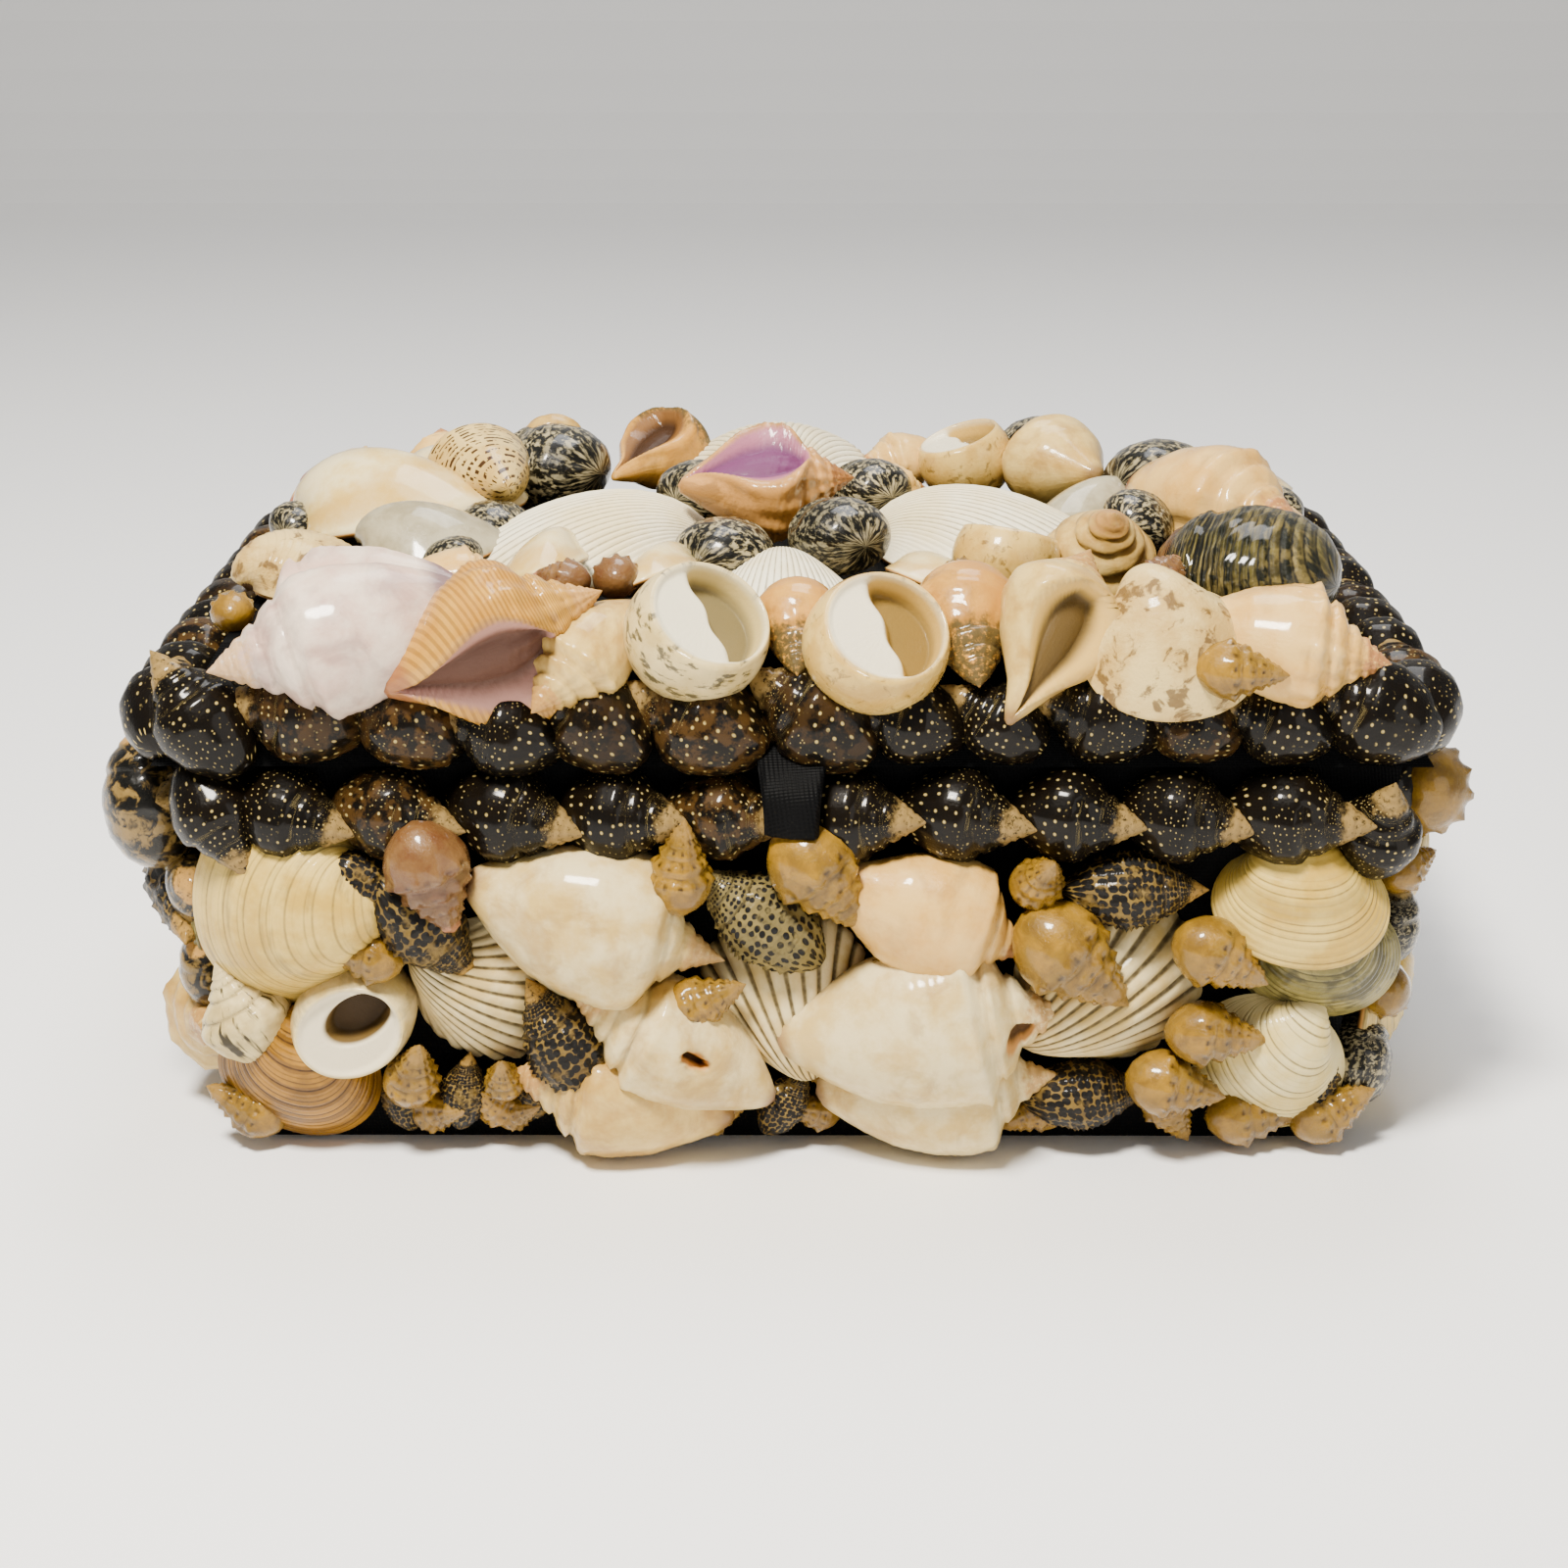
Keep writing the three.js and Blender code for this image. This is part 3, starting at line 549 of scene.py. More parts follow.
class Sheet:
    """A new material's nodes."""

    def __init__(self, name):
        self.material = bpy.data.materials.new(name)
        self.material.use_nodes = True
        self.tree = self.material.node_tree
        self.tree.nodes.clear()

    def node(self, kind, sockets={}, out=0, **settings):
        """Adds a node, sets its settings, then gives each named or numbered socket a number, a colour or a link."""
        made = self.tree.nodes.new("ShaderNode" + kind)
        for key, value in settings.items():
            setattr(made, key, value)
        for key, value in sockets.items():
            if isinstance(value, Value):
                self.tree.links.new(value.socket, made.inputs[key])
            else:
                made.inputs[key].default_value = value
        return Value(self, made.outputs[out]) if made.outputs else None

    def mark(self, name):
        return self.node("Attribute", out="Fac", attribute_name=name)

    def mix(self, first, second, share):
        """The first colour going over to the second as share goes from 0 to 1."""
        return self.node("Mix", {0: share, 6: first, 7: second}, 2, data_type="RGBA")

    def spot(self):
        """The place on the object in millimetres."""
        return self.node("Mapping", {"Vector": self.node("TexCoord", out="Object"), "Scale": (1 / MM,) * 3})

    def growth(self, turns=1.0, phases=1.0):
        """The growth map: how far round, times turns, and how far along, times phases."""
        return self.node("Mapping", {"Vector": self.node("UVMap", uv_map="growth"), "Scale": (turns, phases, 1.0)})

    def noise(self, where, scale, detail=3.0, rough=0.55, warp=0.0):
        sockets = {"Vector": where, "Scale": scale, "Detail": detail, "Roughness": rough, "Distortion": warp}
        return self.node("TexNoise", sockets)

    def finish(self, colour, roughness, height, coat, depth, **fixed):
        """The surface: varnish is the coat, and the height (0 to 1) becomes a bump this many millimetres deep."""
        relief = self.node("Bump", {"Strength": 1.0, "Distance": depth * MM, "Height": height})
        sockets = {"Base Color": colour, "Roughness": roughness, "Coat Weight": coat, "Normal": relief}
        shader = self.node("BsdfPrincipled", {**sockets, **{k.replace("_", " "): v for k, v in fixed.items()}})
        self.node("OutputMaterial", {"Surface": shader})
        return self.material


print("a cream shell is", tuple(round(c, 2) for c in linear("e1cdaa")))

# %% [markdown]
# ## Patterns of real shells
# Shell patterns are laid down at the growing lip, so they follow the growth map:
# dots sit in spiral rows, streaks run from seam to seam, bands run along the coil.
# On a valve the same map gives rays and rings. Mottling ignores the coil, so it
# reads the place on the object.

# %% Patterns
def dots(s, turns, rows, size=0.2, loose=0.35):
    """Round dots in spiral rows: near a cell's middle is 1, and further off is 0."""
    cells = {"Vector": s.growth(turns, rows), "Scale": 1.0, "Randomness": loose}
    away = s.node("TexVoronoi", cells, voronoi_dimensions="2D")
    return 1 - away.step(size, size + 0.1)


def specks(s, turns, rows):
    """Dots of two sizes in spiral rows: large ones where noise is high, smaller and closer ones where it is low."""
    where = s.noise(s.spot(), 0.14, 3.0, 0.6)
    large = dots(s, turns, rows, 0.085, 0.5) * where.step(0.48, 0.54)
    return large + (1 - large) * dots(s, turns * 1.6, rows * 1.8, 0.06, 0.8) * (1 - where.step(0.4, 0.5)) * 0.8


def pits(s, turns, rows, size=0.3):
    """Round pits in close rows, smaller where noise is low."""
    return dots(s, turns, rows, size, 0.5) * s.noise(s.spot(), 0.25).step(0.28, 0.44)


def mottle(s, scale=0.4, cut=0.5, soft=0.06):
    """Irregular blotches: noise above a cut."""
    return s.noise(s.spot(), scale, 4.0, 0.6, 0.6).step(cut - soft, cut + soft)


def streaks(s, turns, cut=0.55, soft=0.08, along=0.8):
    """Lines from seam to seam on a coil, or rays on a valve: noise stretched along the growth."""
    return s.noise(s.growth(turns, along), 1.0, 4.0, 0.6, 0.4).step(cut - soft, cut + soft)


def bands(s, rows, cut=0.5, soft=0.2):
    """Rings on a valve, or bands along a coil: a sine of the phase, shaken by noise."""
    phase = s.node("SeparateXYZ", {"Vector": s.growth(1, 1)}, out="Y")
    shaken = phase + s.noise(s.growth(6, 3), 1.0) * (0.35 / rows)
    return shaken.wave(rows).step(cut - soft, cut + soft)


def dashes(s, turns, rows):
    """Bands along the coil, cut into dashes by noise along it."""
    return bands(s, rows, 0.62, 0.1) * s.noise(s.growth(turns, rows * 0.5), 1.0, 1.0).step(0.47, 0.52)


def streaked_bands(s):
    """Streaks from seam to seam over bands along the coil, as on a banded nerite."""
    return streaks(s, 20, 0.5, 0.1, 8.0) * 0.75 + bands(s, 6, 0.6, 0.2) * 0.45


# %% [markdown]
# ## One recipe for every shell
# The finishes differ in colours and pattern, not in kind: a ground of two tones, a
# pattern over it, a worn apex, a stained tip, a coloured mouth with painted shade that
# deepens inwards, dirt and painted shade in the grooves, fine growth lines and varnish. So
# one recipe takes a look's numbers. A tint above 0.6 brings in a third tone, for rows in which shells differ.

# %% The shell recipe
def shell_finish(name, ground, second, dirt, rough, coat, pattern=None, ink="201a15", ink_share=1.0, third=None,
                 apex=None, worn=0.16, tip=None, stained=0.9, mouth="d8b48c", deep="3a2617", shelf=None, beads=None,
                 dirty=0.5, lines=0.3, patch=0.12, depth=0.25, shine=0.15):
    s = Sheet(name)
    age, inside, carved, tint = (s.mark(key) for key in ("age", "inside", "carved", "tint"))
    patches = s.noise(s.spot(), patch, 4.0, 0.6).step(0.36, 0.66)
    colour = s.mix(linear(ground), linear(second), patches * 0.75 + tint * 0.25)
    if third:
        some = tint.step(0.55, 0.95) * s.noise(s.spot(), 0.3, 4.0, 0.65).step(0.44, 0.58)
        colour = s.mix(colour, linear(third), some)
    if pattern:
        draw, *measures = pattern
        colour = s.mix(colour, linear(ink), draw(s, *measures) * ink_share)
    rubbed = 0.0
    if apex:
        ragged = age + (s.noise(s.spot(), 0.4, 4.0, 0.6) - 0.5) * worn
        rubbed = (1 - ragged.step(worn * 0.8, worn * 1.1)) * s.noise(s.spot(), 1.1, 4.0, 0.65).step(0.3, 0.5)
        colour = s.mix(colour, linear(apex), rubbed)
    if tip:
        colour = s.mix(colour, linear(tip), age.step(stained, stained + 0.08) * 0.85)
    raised_beads = 0.5
    if beads:
        turns, rows = beads
        along, across = (s.node("SeparateXYZ", {"Vector": s.growth()}, out=axis) for axis in "XY")
        raised_beads = across.wave(rows) * (along.wave(turns) * 0.6 + 0.4 if turns else 1.0)
        carved = carved * (raised_beads * 0.9 + 0.3)
    # Dirt and painted shade: the colour goes over to a darker tone where the carved mark is low, in grooves, at seams
    # and between knobs and beads.
    dirt_and_shade_mask = (1 - carved.step(0.05, 0.5)) * dirty * (0.5 + s.noise(s.spot(), 0.8) * 0.8)
    colour = s.mix(colour, linear(dirt), dirt_and_shade_mask.step(0.0, 1.0))
    if shelf:
        colour = s.mix(colour, linear(shelf), s.mark("face"))
    # Painted shade: the mouth's colour goes over to the dark deep tone further in, in broken holes and on a valve's
    # hollow side.
    colour = s.mix(s.mix(colour, linear(mouth), inside.step(0.0, 0.35)), linear(deep), inside.step(0.45, 1.0) * 0.9)
    threads = s.noise(s.growth(46, 0.7), 1.0, 2.0)
    grain = s.noise(s.spot(), 1.6, 4.0, 0.65)
    roughness = rough + (1 - patches) * 0.12 + dirt_and_shade_mask * 0.25 + rubbed * 0.3 + inside * 0.2
    height = threads * lines + grain * 0.45 + raised_beads * 0.8
    varnish = (1 - inside * 0.9) * coat
    return s.finish(colour, roughness, height, varnish, depth, Coat_Roughness=0.1, Coat_IOR=1.36, Specular_IOR_Level=shine)


# Ground, second tone, dirt and painted shade in the grooves, roughness, varnish, then what else differs from the
# recipe.
LOOKS = {
    "dove": ("110e0b", "1d150d", "15100a", 0.3, 0.45, dict(pattern=(specks, 24, 2.8), ink="c4b48c", third="5f4428",
        apex="b59a70", worn=0.22, dirty=1.0, lines=0.35, shine=0.04)),
    "nassa": ("a5823c", "bf9b4e", "4a3212", 0.2, 0.9, dict(pattern=(mottle, 0.25, 0.54, 0.14), ink="86602a", ink_share=0.6,
        apex="b5935c", worn=0.2, mouth="a06b3f", dirty=1.3, lines=0.08, depth=0.4)),
    "nassa_red": ("956845", "ad8560", "552717", 0.2, 0.9, dict(pattern=(mottle, 0.3, 0.56, 0.14), ink="7f4028",
        ink_share=0.5, apex="c79a84", mouth="8a5a38", dirty=1.0, lines=0.08, depth=0.4)),
    "conch_cream": ("e0cfa9", "cdb07a", "7f6238", 0.28, 0.65, dict(pattern=(mottle, 0.09, 0.55, 0.1), ink="b98f54",
        ink_share=0.5, apex="c9a67a", tip="a98260", mouth="dcc598", deep="4c3720", dirty=0.6)),
    "conch_white": ("e9dfc8", "d6c298", "86693f", 0.32, 0.55, dict(pattern=(mottle, 0.1, 0.58, 0.1), ink="bd9a63",
        ink_share=0.45, apex="d0b592", tip="94535a", stained=0.93, dirty=0.6)),
    "conch_blush": ("e8d2ac", "dcbe8e", "80562f", 0.26, 0.75, dict(pattern=(streaks, 5, 0.6, 0.12), ink="a97c4a",
        ink_share=0.4, apex="c69a79", tip="b0646a", stained=0.86, dirty=0.6)),
    "conch_lilac": ("e9e0d8", "d9c4bd", "84686a", 0.28, 0.65, dict(pattern=(mottle, 0.1, 0.57, 0.14), ink="ae8a90",
        ink_share=0.5, apex="d6bfa9", tip="8f6a7b", stained=0.78, dirty=0.6)),
    "conch_tan": ("cda46a", "dcbc88", "5e4127", 0.25, 0.75, dict(pattern=(mottle, 0.12, 0.55, 0.12), ink="a36f38",
        ink_share=0.5, apex="806a42", worn=0.4, mouth="a8774c", deep="3a2114", dirty=0.7)),
    "whelk_orange": ("cda565", "d9ba84", "774f20", 0.3, 0.7, dict(pattern=(bands, 8, 0.6, 0.2), ink="a4702f", ink_share=0.5,
        apex="d4b48d", tip="b77f68", stained=0.85, mouth="c9a6a3", deep="6b473c", dirty=0.7)),
    "whelk_violet": ("c9a273", "dab893", "77502c", 0.25, 0.8, dict(pattern=(mottle, 0.12, 0.55), ink="a07448",
        ink_share=0.5, apex="b9855a", mouth="c48fa6", deep="86457f")),
    "nerite_speckled": ("c6bba2", "9c937a", "26231c", 0.25, 0.7, dict(pattern=(streaks, 38, 0.46, 0.07, 9.0), ink="16150f",
        apex="c9b894", worn=0.1, mouth="d9c59c", deep="8f7750", shelf="ebe4d4", dirty=0.6, lines=0.5)),
    "nerite_pale": ("e0d3b6", "cdbb92", "5f5536", 0.25, 0.7, dict(pattern=(streaks, 20, 0.57, 0.05, 5.0), ink="45402f",
        ink_share=0.85, mouth="ddd0ae", deep="978764", shelf="efeadc")),
    "nerite_banded": ("b09c6c", "857a4a", "12130c", 0.3, 0.6, dict(pattern=(streaked_bands,), ink="24261a", apex="b7875a",
        beads=(0, 12), dirty=1.5, depth=0.6)),
    "nerite_tan": ("94784a", "b3976a", "1c160e", 0.22, 0.8, dict(pattern=(mottle, 0.3, 0.48, 0.06), ink="14120d",
        apex="c9a878", worn=0.1, dirty=0.6)),
    "nerite_cream": ("e2cfa4", "cdb07a", "86693f", 0.22, 0.8, dict(pattern=(mottle, 0.4, 0.62, 0.06), ink="97713c",
        ink_share=0.7, mouth="dcc698", deep="a4854f", shelf="f1ebdd")),
    "nerite_ring": ("e6dcc4", "d0bd93", "86693f", 0.3, 0.6, dict(pattern=(streaks, 20, 0.6, 0.1), ink="8d8271",
        ink_share=0.4, mouth="9a7b50", deep="4d3720", shelf="e9e2d3")),
    "cockle": ("e6dcc6", "d3c19a", "7a6748", 0.45, 0.25, dict(dirty=0.9, lines=0.1)),
    "petal": ("f4f0e4", "e6dcc4", "a08f6d", 0.45, 0.2, dict(dirty=0.7, lines=0.1, patch=0.05)),
    "venus_cream": ("e0cfa2", "cdb36f", "9a8050", 0.32, 0.45, dict(pattern=(streaks, 3, 0.58, 0.08, 14), ink="6d6350",
        ink_share=0.5, dirty=0.6, lines=0.05)),
    "venus_yellow": ("e3d3a6", "d3bb7e", "a08552", 0.28, 0.6, dict(pattern=(bands, 3, 0.8, 0.15), ink="94763a",
        ink_share=0.3, dirty=0.7, lines=0.05)),
    "venus_olive": ("b9ac79", "958a52", "5a5230", 0.3, 0.55, dict(pattern=(mottle, 0.14, 0.54, 0.06), ink="3a3826",
        ink_share=0.7, dirty=0.8, lines=0.1)),
    "venus_white": ("e8dfc6", "dacba0", "a8946a", 0.35, 0.4, dict(dirty=0.8, lines=0.05)),
    "venus_orange": ("c79f55", "ad7f35", "543515", 0.3, 0.6, dict(pattern=(bands, 9, 0.7, 0.12), ink="6a4217",
        ink_share=0.5, dirty=0.9)),
    "venus_spotted": ("e4d5b4", "cfb68a", "80653c", 0.35, 0.45, dict(pattern=(mottle, 0.24, 0.57, 0.05), ink="7a5229",
        ink_share=0.8, dirty=0.6, depth=0.5)),
    "tellin": ("efe6d0", "e0cda0", "b7a070", 0.14, 1.0, dict(pattern=(bands, 1.3, 0.8, 0.2), ink="cfae63", ink_share=0.5,
        dirty=0.2, lines=0.05)),
    "tellin_grey": ("c9c3b2", "b3a88e", "8c7f63", 0.14, 1.0, dict(dirty=0.2, lines=0.05)),
    "drupe": ("93835a", "ae9b6b", "1c160f", 0.5, 0.3, dict(pattern=(pits, 26, 3.4, 0.3), ink="14110d", apex="b3a077",
        worn=0.14, dirty=1.0, depth=0.4)),
    "drupe_brown": ("a88b54", "84673a", "1e140a", 0.5, 0.3, dict(pattern=(pits, 28, 3.8, 0.46), ink="130e09", apex="c0a06c",
        worn=0.14, dirty=1.0, depth=0.4)),
    "cone": ("e2d3b0", "cfb78a", "7d6339", 0.28, 0.7, dict(pattern=(dashes, 30, 4.5), ink="5a3a1e", lines=0.1)),
    "streaked": ("e5dabf", "c4b18a", "54462c", 0.4, 0.4, dict(pattern=(streaks, 22, 0.58, 0.04, 0.3), ink="29231a",
        ink_share=0.95, apex="d9cdb4", dirty=0.7)),
}
FINISHES = {name: shell_finish(name, *basic, **more) for name, (*basic, more) in LOOKS.items()}
print(len(FINISHES), "shell finishes")

# %% [markdown]
# ## The shells that show singly
# These are given one by one: the solid each stands for, its finish, its place on the
# face as (right, up, out) in millimetres, its length, the way its apex points, and
# any changes to its kind.


def placed(kind, face, at, size, turn, lean=0, roll=0, squash=1.0, fine=0.8, **changes):
    """A grown shell of this kind, bedded on a face."""
    return bedded(grown(kind, fine, **changes), face, at, size, turn, lean, roll, squash)


def single(face, node, finish, at, size, turn, kind=None, **changes):
    """One shell as a piece that stands for the solid node. Its kind is the first word of its finish, unless given."""
    skin = placed(kind or finish.split("_")[0], face, at, size, turn, **changes)
    make_piece(node + "_shell", [skin], finish, face[:3], (node,))


on_top, on_border, on_front = (functools.partial(single, face) for face in ("lid_top", "lid_border", "box_front"))

on_top("centre_violet_shell", "whelk_violet", (-5, -8, 18), 36, 12, roll=35, flare=0.16, kind="whelk_open")
on_top("centre_nerite_left", "nerite_speckled", (-13, -29, 8), 21, 60)
on_top("centre_nerite_right", "nerite_speckled", (9, -25, 11), 21, 120)
on_top("centre_nerite_back_left", "nerite_speckled", (-19, 14, 11), 19, 60)
on_top("centre_nerite_back_right", "nerite_speckled", (16, 12, 12), 18, 120)
on_top("petal_left", "petal", (-42, -6, 2), 50, 0)
on_top("petal_right", "petal", (41, 0, 2), 49, 180)
on_top("petal_back", "petal", (-3, 45, 8), 43, 270, lean=-18)
on_top("petal_front", "petal", (-2, -42, 1), 36, 90)
on_top("moon_shell_left", "tellin", (-84, 10, 6), 40, 150, lean=-12, curl=1.2)
on_top("spotted_cone_left", "cone", (-64, 19, 14), 33, 112)
on_top("striped_clam_left", "venus_spotted", (-92, -30, 3), 27, 200, ridges=24)
on_top("speckled_nerite_back", "nerite_speckled", (-53, 48, 9), 27, 150)
on_top("tan_conch_back", "conch_tan", (-30, 53, 11), 34, 60, lean=8, kind="conch_open")
on_top("upturned_nerite_back", "nerite_cream", (38, 50, 11), 21, 20, lean=20, kind="mouth")
on_top("cream_whelk_back", "conch_cream", (57, 45, 11), 34, 120, ribs=0, knobs=0, lip=0, kind="whelk")
on_top("blush_conch_right", "conch_blush", (86, 8, 10), 48, -50, knob=0.05)
on_top("banded_nerite_right", "nerite_banded", (86, -40, 7), 36, 150, cord=0.022, cords=13)
on_top("upturned_nerite_right", "nerite_cream", (41, -33, 8), 22, 60, lean=-20, kind="mouth")
on_border("upturned_nerite_speckled", "nerite_pale", (-17, 2, 11), 27, 25, lean=-26, kind="mouth")
on_border("upturned_nerite_cream", "nerite_cream", (15, 0, 11), 27, 20, lean=-16, kind="mouth")
on_border("open_conch_front", "conch_cream", (46, 1, 12), 38, 66, roll=38, kind="conch_open")
on_border("lilac_conch_front", "conch_lilac", (-79, 2, 11), 52, 197, roll=10, knob=0.03, rib=0.01, bulge=0.14, lip=0.2,
    seam=150)
on_border("ribbed_whelk_front", "whelk_orange", (-53, 0, 12.5), 43, 27, roll=72, kind="whelk_open")
on_border("spotted_clam_front", "venus_spotted", (67, -1, 9.5), 27, 110, ridges=26, ridge=0.0015, curl=1.25)
on_border("blush_conch_front", "conch_blush", (88, 1, 8), 40, -12, rib=0.04, fade=0.8)
on_border("tan_conch_front", "conch_tan", (32, 6, 5), 30, 275, lean=20, lip=0, line="nassa", kind="whelk")
on_border("pale_conch_front", "conch_cream", (-37, -1, 8), 31, 234, lean=10, rib=0.04)
on_border("small_conch_front", "conch_tan", (1, 6, 4), 24, 270, lean=22, lip=0, line="nassa", kind="whelk")

on_front("cream_conch_upper_left", "conch_white", (-36, 47, 8), 50, -18, seam=168, knob=0.03, lip=0.05, last=0.22,
    width=0.54, line="strombus")
on_front("blush_conch_upper", "conch_blush", (26, 48, 8), 41, -20, knob=0.02, lip=0.04, last=0.22, width=0.54,
    line="strombus")
on_front("white_conch_lower_right", "conch_white", (25, 26, 9), 57, 8, roll=10, knob=0.11, knobs=6, lip=0.06, last=0.26,
    width=0.52, line="strombus", sides=130, rings=110, hole=(0.2, 0.3, 0.055, 0.065))
on_front("white_conch_lower_left", "conch_white", (-22, 23, 10), 45, 149, squash=0.92, knob=0.05, knobs=7, lip=0, sides=130,
    rings=110, hole=(0.575, 0.25, 0.07, 0.022))
on_front("cream_conch_foot_left", "conch_cream", (-32, 11, 8), 44, 168, knob=0.03, seam=160, lip=0.14)
on_front("cream_conch_foot_right", "conch_white", (28, 12, 7), 47, 6, knob=0.05, lip=0.06, last=0.24, line="strombus")
on_front("grey_drupe_centre", "drupe", (-6, 48, 7), 30, 140)
on_front("grey_drupe_right", "drupe_brown", (63, 53, 6), 27, 0)
on_front("grey_drupe_slanted", "drupe_brown", (-42, 23, 9), 30, 118)
on_front("streaked_whelk_corner", "streaked", (-102, 25, 4), 26, 115, kind="whelk")
on_front("cream_clam_upper_left", "venus_cream", (-93, 49, 2), 36, 8, ridges=30, ridge=0.003, narrow=2)
on_front("cream_clam_upper_right", "venus_yellow", (93, 50, 5), 25, 92, lean=-38, ridges=22, smooth_beak=0.3, width=1.32)
on_front("olive_clam_right", "venus_olive", (98, 37, 1.5), 26, 100, ridges=22)
on_front("white_clam_lower_right", "venus_white", (90, 16, 2.5), 27, 60, ridges=26)
on_front("orange_clam_lower_left", "venus_orange", (-94, 12.5, 2), 27, 80, ridges=27, narrow=2)
on_front("white_nerite_ring", "nerite_ring", (-82, 26, 6), 25, 35, oval=(0.11, 0.05, 0.29, 0.22), rim=0.13, width=0.84,
    kind="mouth")
on_front("ribbed_cockle_left", "cockle", (-56, 30, 1), 31, 150)
on_front("ribbed_cockle_centre", "cockle", (-1, 30, 1), 33, 285)
on_front("ribbed_cockle_right", "cockle", (59, 32, 1), 36, 215)
print("single shells set")

# %% [markdown]
# ## The dark rows and the covered sides
# Dark dove shells run round the lid's rim and round the box under the seam, each
# one's spire lying over the next. The two front rows are listed one by one, because each
# shell there has its own tilt and tone. The ends and the back are covered by a loop
# over five kinds.

# %% Rows and sides
def dark_row(span, pitch, up, turn, size, out=3):
    """(place, size, turn, tint) of each dove shell along a row centred on the face."""
    count = round(span / pitch)
    return [(((i - (count - 1) / 2) * pitch, up + 0.6 * sway(i, 1), out), size, turn + 9 * sway(i, 3),
             0.5 + 0.4 * sway(i, 7)) for i in range(count)]


def by_hand(row):
    """The same for a row of (along, up, size, turn, tint), which lies 4.5 mm out."""
    return [((along, up, 4.5), *rest) for along, up, *rest in row]


# Along, up, length, turn, tone (above 0.6 is brown).
LID_FRONT_ROW = [
    (-107, 9, 25, 128, 0.1), (-90, 9, 25, 172, 0.8), (-71, 9, 25, 150, 0.95), (-53, 6, 23, 168, 0.2), (-37, 9, 25, 142, 0.7),
    (-18, 8, 27, 158, 0.9), (3, 9, 26, 148, 0.75), (20, 8, 22, 170, 0.3), (36, 8, 20, 150, 0.5), (54, 9, 24, 165, 0.1),
    (70, 8, 21, 160, 0.8), (86, 8, 22, 165, 0.45), (103, 10, 26, 160, 0.2),
]
BOX_FRONT_ROW = [
    (-104, 66, 22, -60, 0.1), (-90, 67, 23, -8, 0.3), (-71, 67, 24, -4, 0.9), (-50, 67, 25, -6, 0.3), (-30, 67, 24, 2, 0.45),
    (-11, 67, 23, 4, 0.95), (12, 67, 24, 5, 0.5), (32, 67, 24, -2, 0.2), (52, 67, 24, 0, 0.4), (72, 67, 24, -3, 0.3),
    (92, 67, 26, 2, 0.2), (107, 65, 21, 85, 0.4),
]
DARK_ROWS = {
    "lid_dark_row_front": ("lid_front", by_hand(LID_FRONT_ROW)),
    "lid_dark_row_left": ("lid_left", dark_row(138, 16, 8, 165, 24)),
    "lid_dark_row_right": ("lid_right", dark_row(138, 16, 8, 15, 24)),
    "box_dark_row_front": ("box_front", by_hand(BOX_FRONT_ROW)),
    "box_dark_row_left": ("box_left", dark_row(134, 18.5, 66.5, 0, 22)),
    "box_dark_row_right": ("box_right", dark_row(134, 18.5, 66.5, 0, 22)),
    "box_dark_row_back": ("box_back", dark_row(210, 18.5, 53, 0, 21)),
}
for name, (face, row) in DARK_ROWS.items():
    lean = 12 if name.startswith("lid") else 22
    skins = [placed("dove", face, at, size * 1.12, turn, lean=lean, roll=40 * sway(i, 5))
             for i, (at, size, turn, _) in enumerate(row)]
    solids = (name,) if name in frame["nodes"] else ()
    make_piece(name + "_shells", skins, "dove", face[:3], solids, [tint for *_, tint in row])
    print(name, len(row), "dove shells")

SIDE_KINDS = [("venus", "venus_cream"), ("conch", "conch_cream"), ("nerite", "nerite_speckled"), ("cockle", "cockle"),
              ("drupe", "drupe_brown")]


def side_cover(span, rows, pitch):
    """(kind number, place, size, turn) over a face: rows of a fixed pitch, each a little off its place."""
    count = int(span // pitch)
    found = []
    for row, up in enumerate(rows):
        for i in range(count):
            kind = (i * 2 + row * 3) % len(SIDE_KINDS)
            long = SIDE_KINDS[kind][0] in ("conch", "drupe")
            at = ((i - (count - 1) / 2) * pitch + 1.5 * sway(i, row), up + sway(i, row + 4), 8 if long else 5)
            turn = 20 * sway(i, row + 1) if long else 90 + 40 * sway(i, row + 2)
            found.append((kind, at, pitch * (1.4 if long else 1.18), turn))
    return found


for side, *sizes in (("left", 130, (17, 45), 30), ("right", 130, (17, 45), 30), ("back", 208, (19, 38), 33)):
    cover = side_cover(*sizes)
    for number, (kind, finish) in enumerate(SIDE_KINDS):
        skins = [placed(kind, "box_" + side, at, size, turn, fine=0.55) for k, at, size, turn in cover if k == number]
        solids = ("box_" + side + "_shells",) if number == 0 else ()
        make_piece("box_" + side + "_" + kind + "s", skins, finish, "box", solids)
    print("box", side, "has", len(cover), "shells")

# %% [markdown]
# ## Small shells in the gaps
# Small shells fill the gaps between the large ones, some on edge, some apex down.
# They are too small to be solids of their own, and are joined by kind and area.

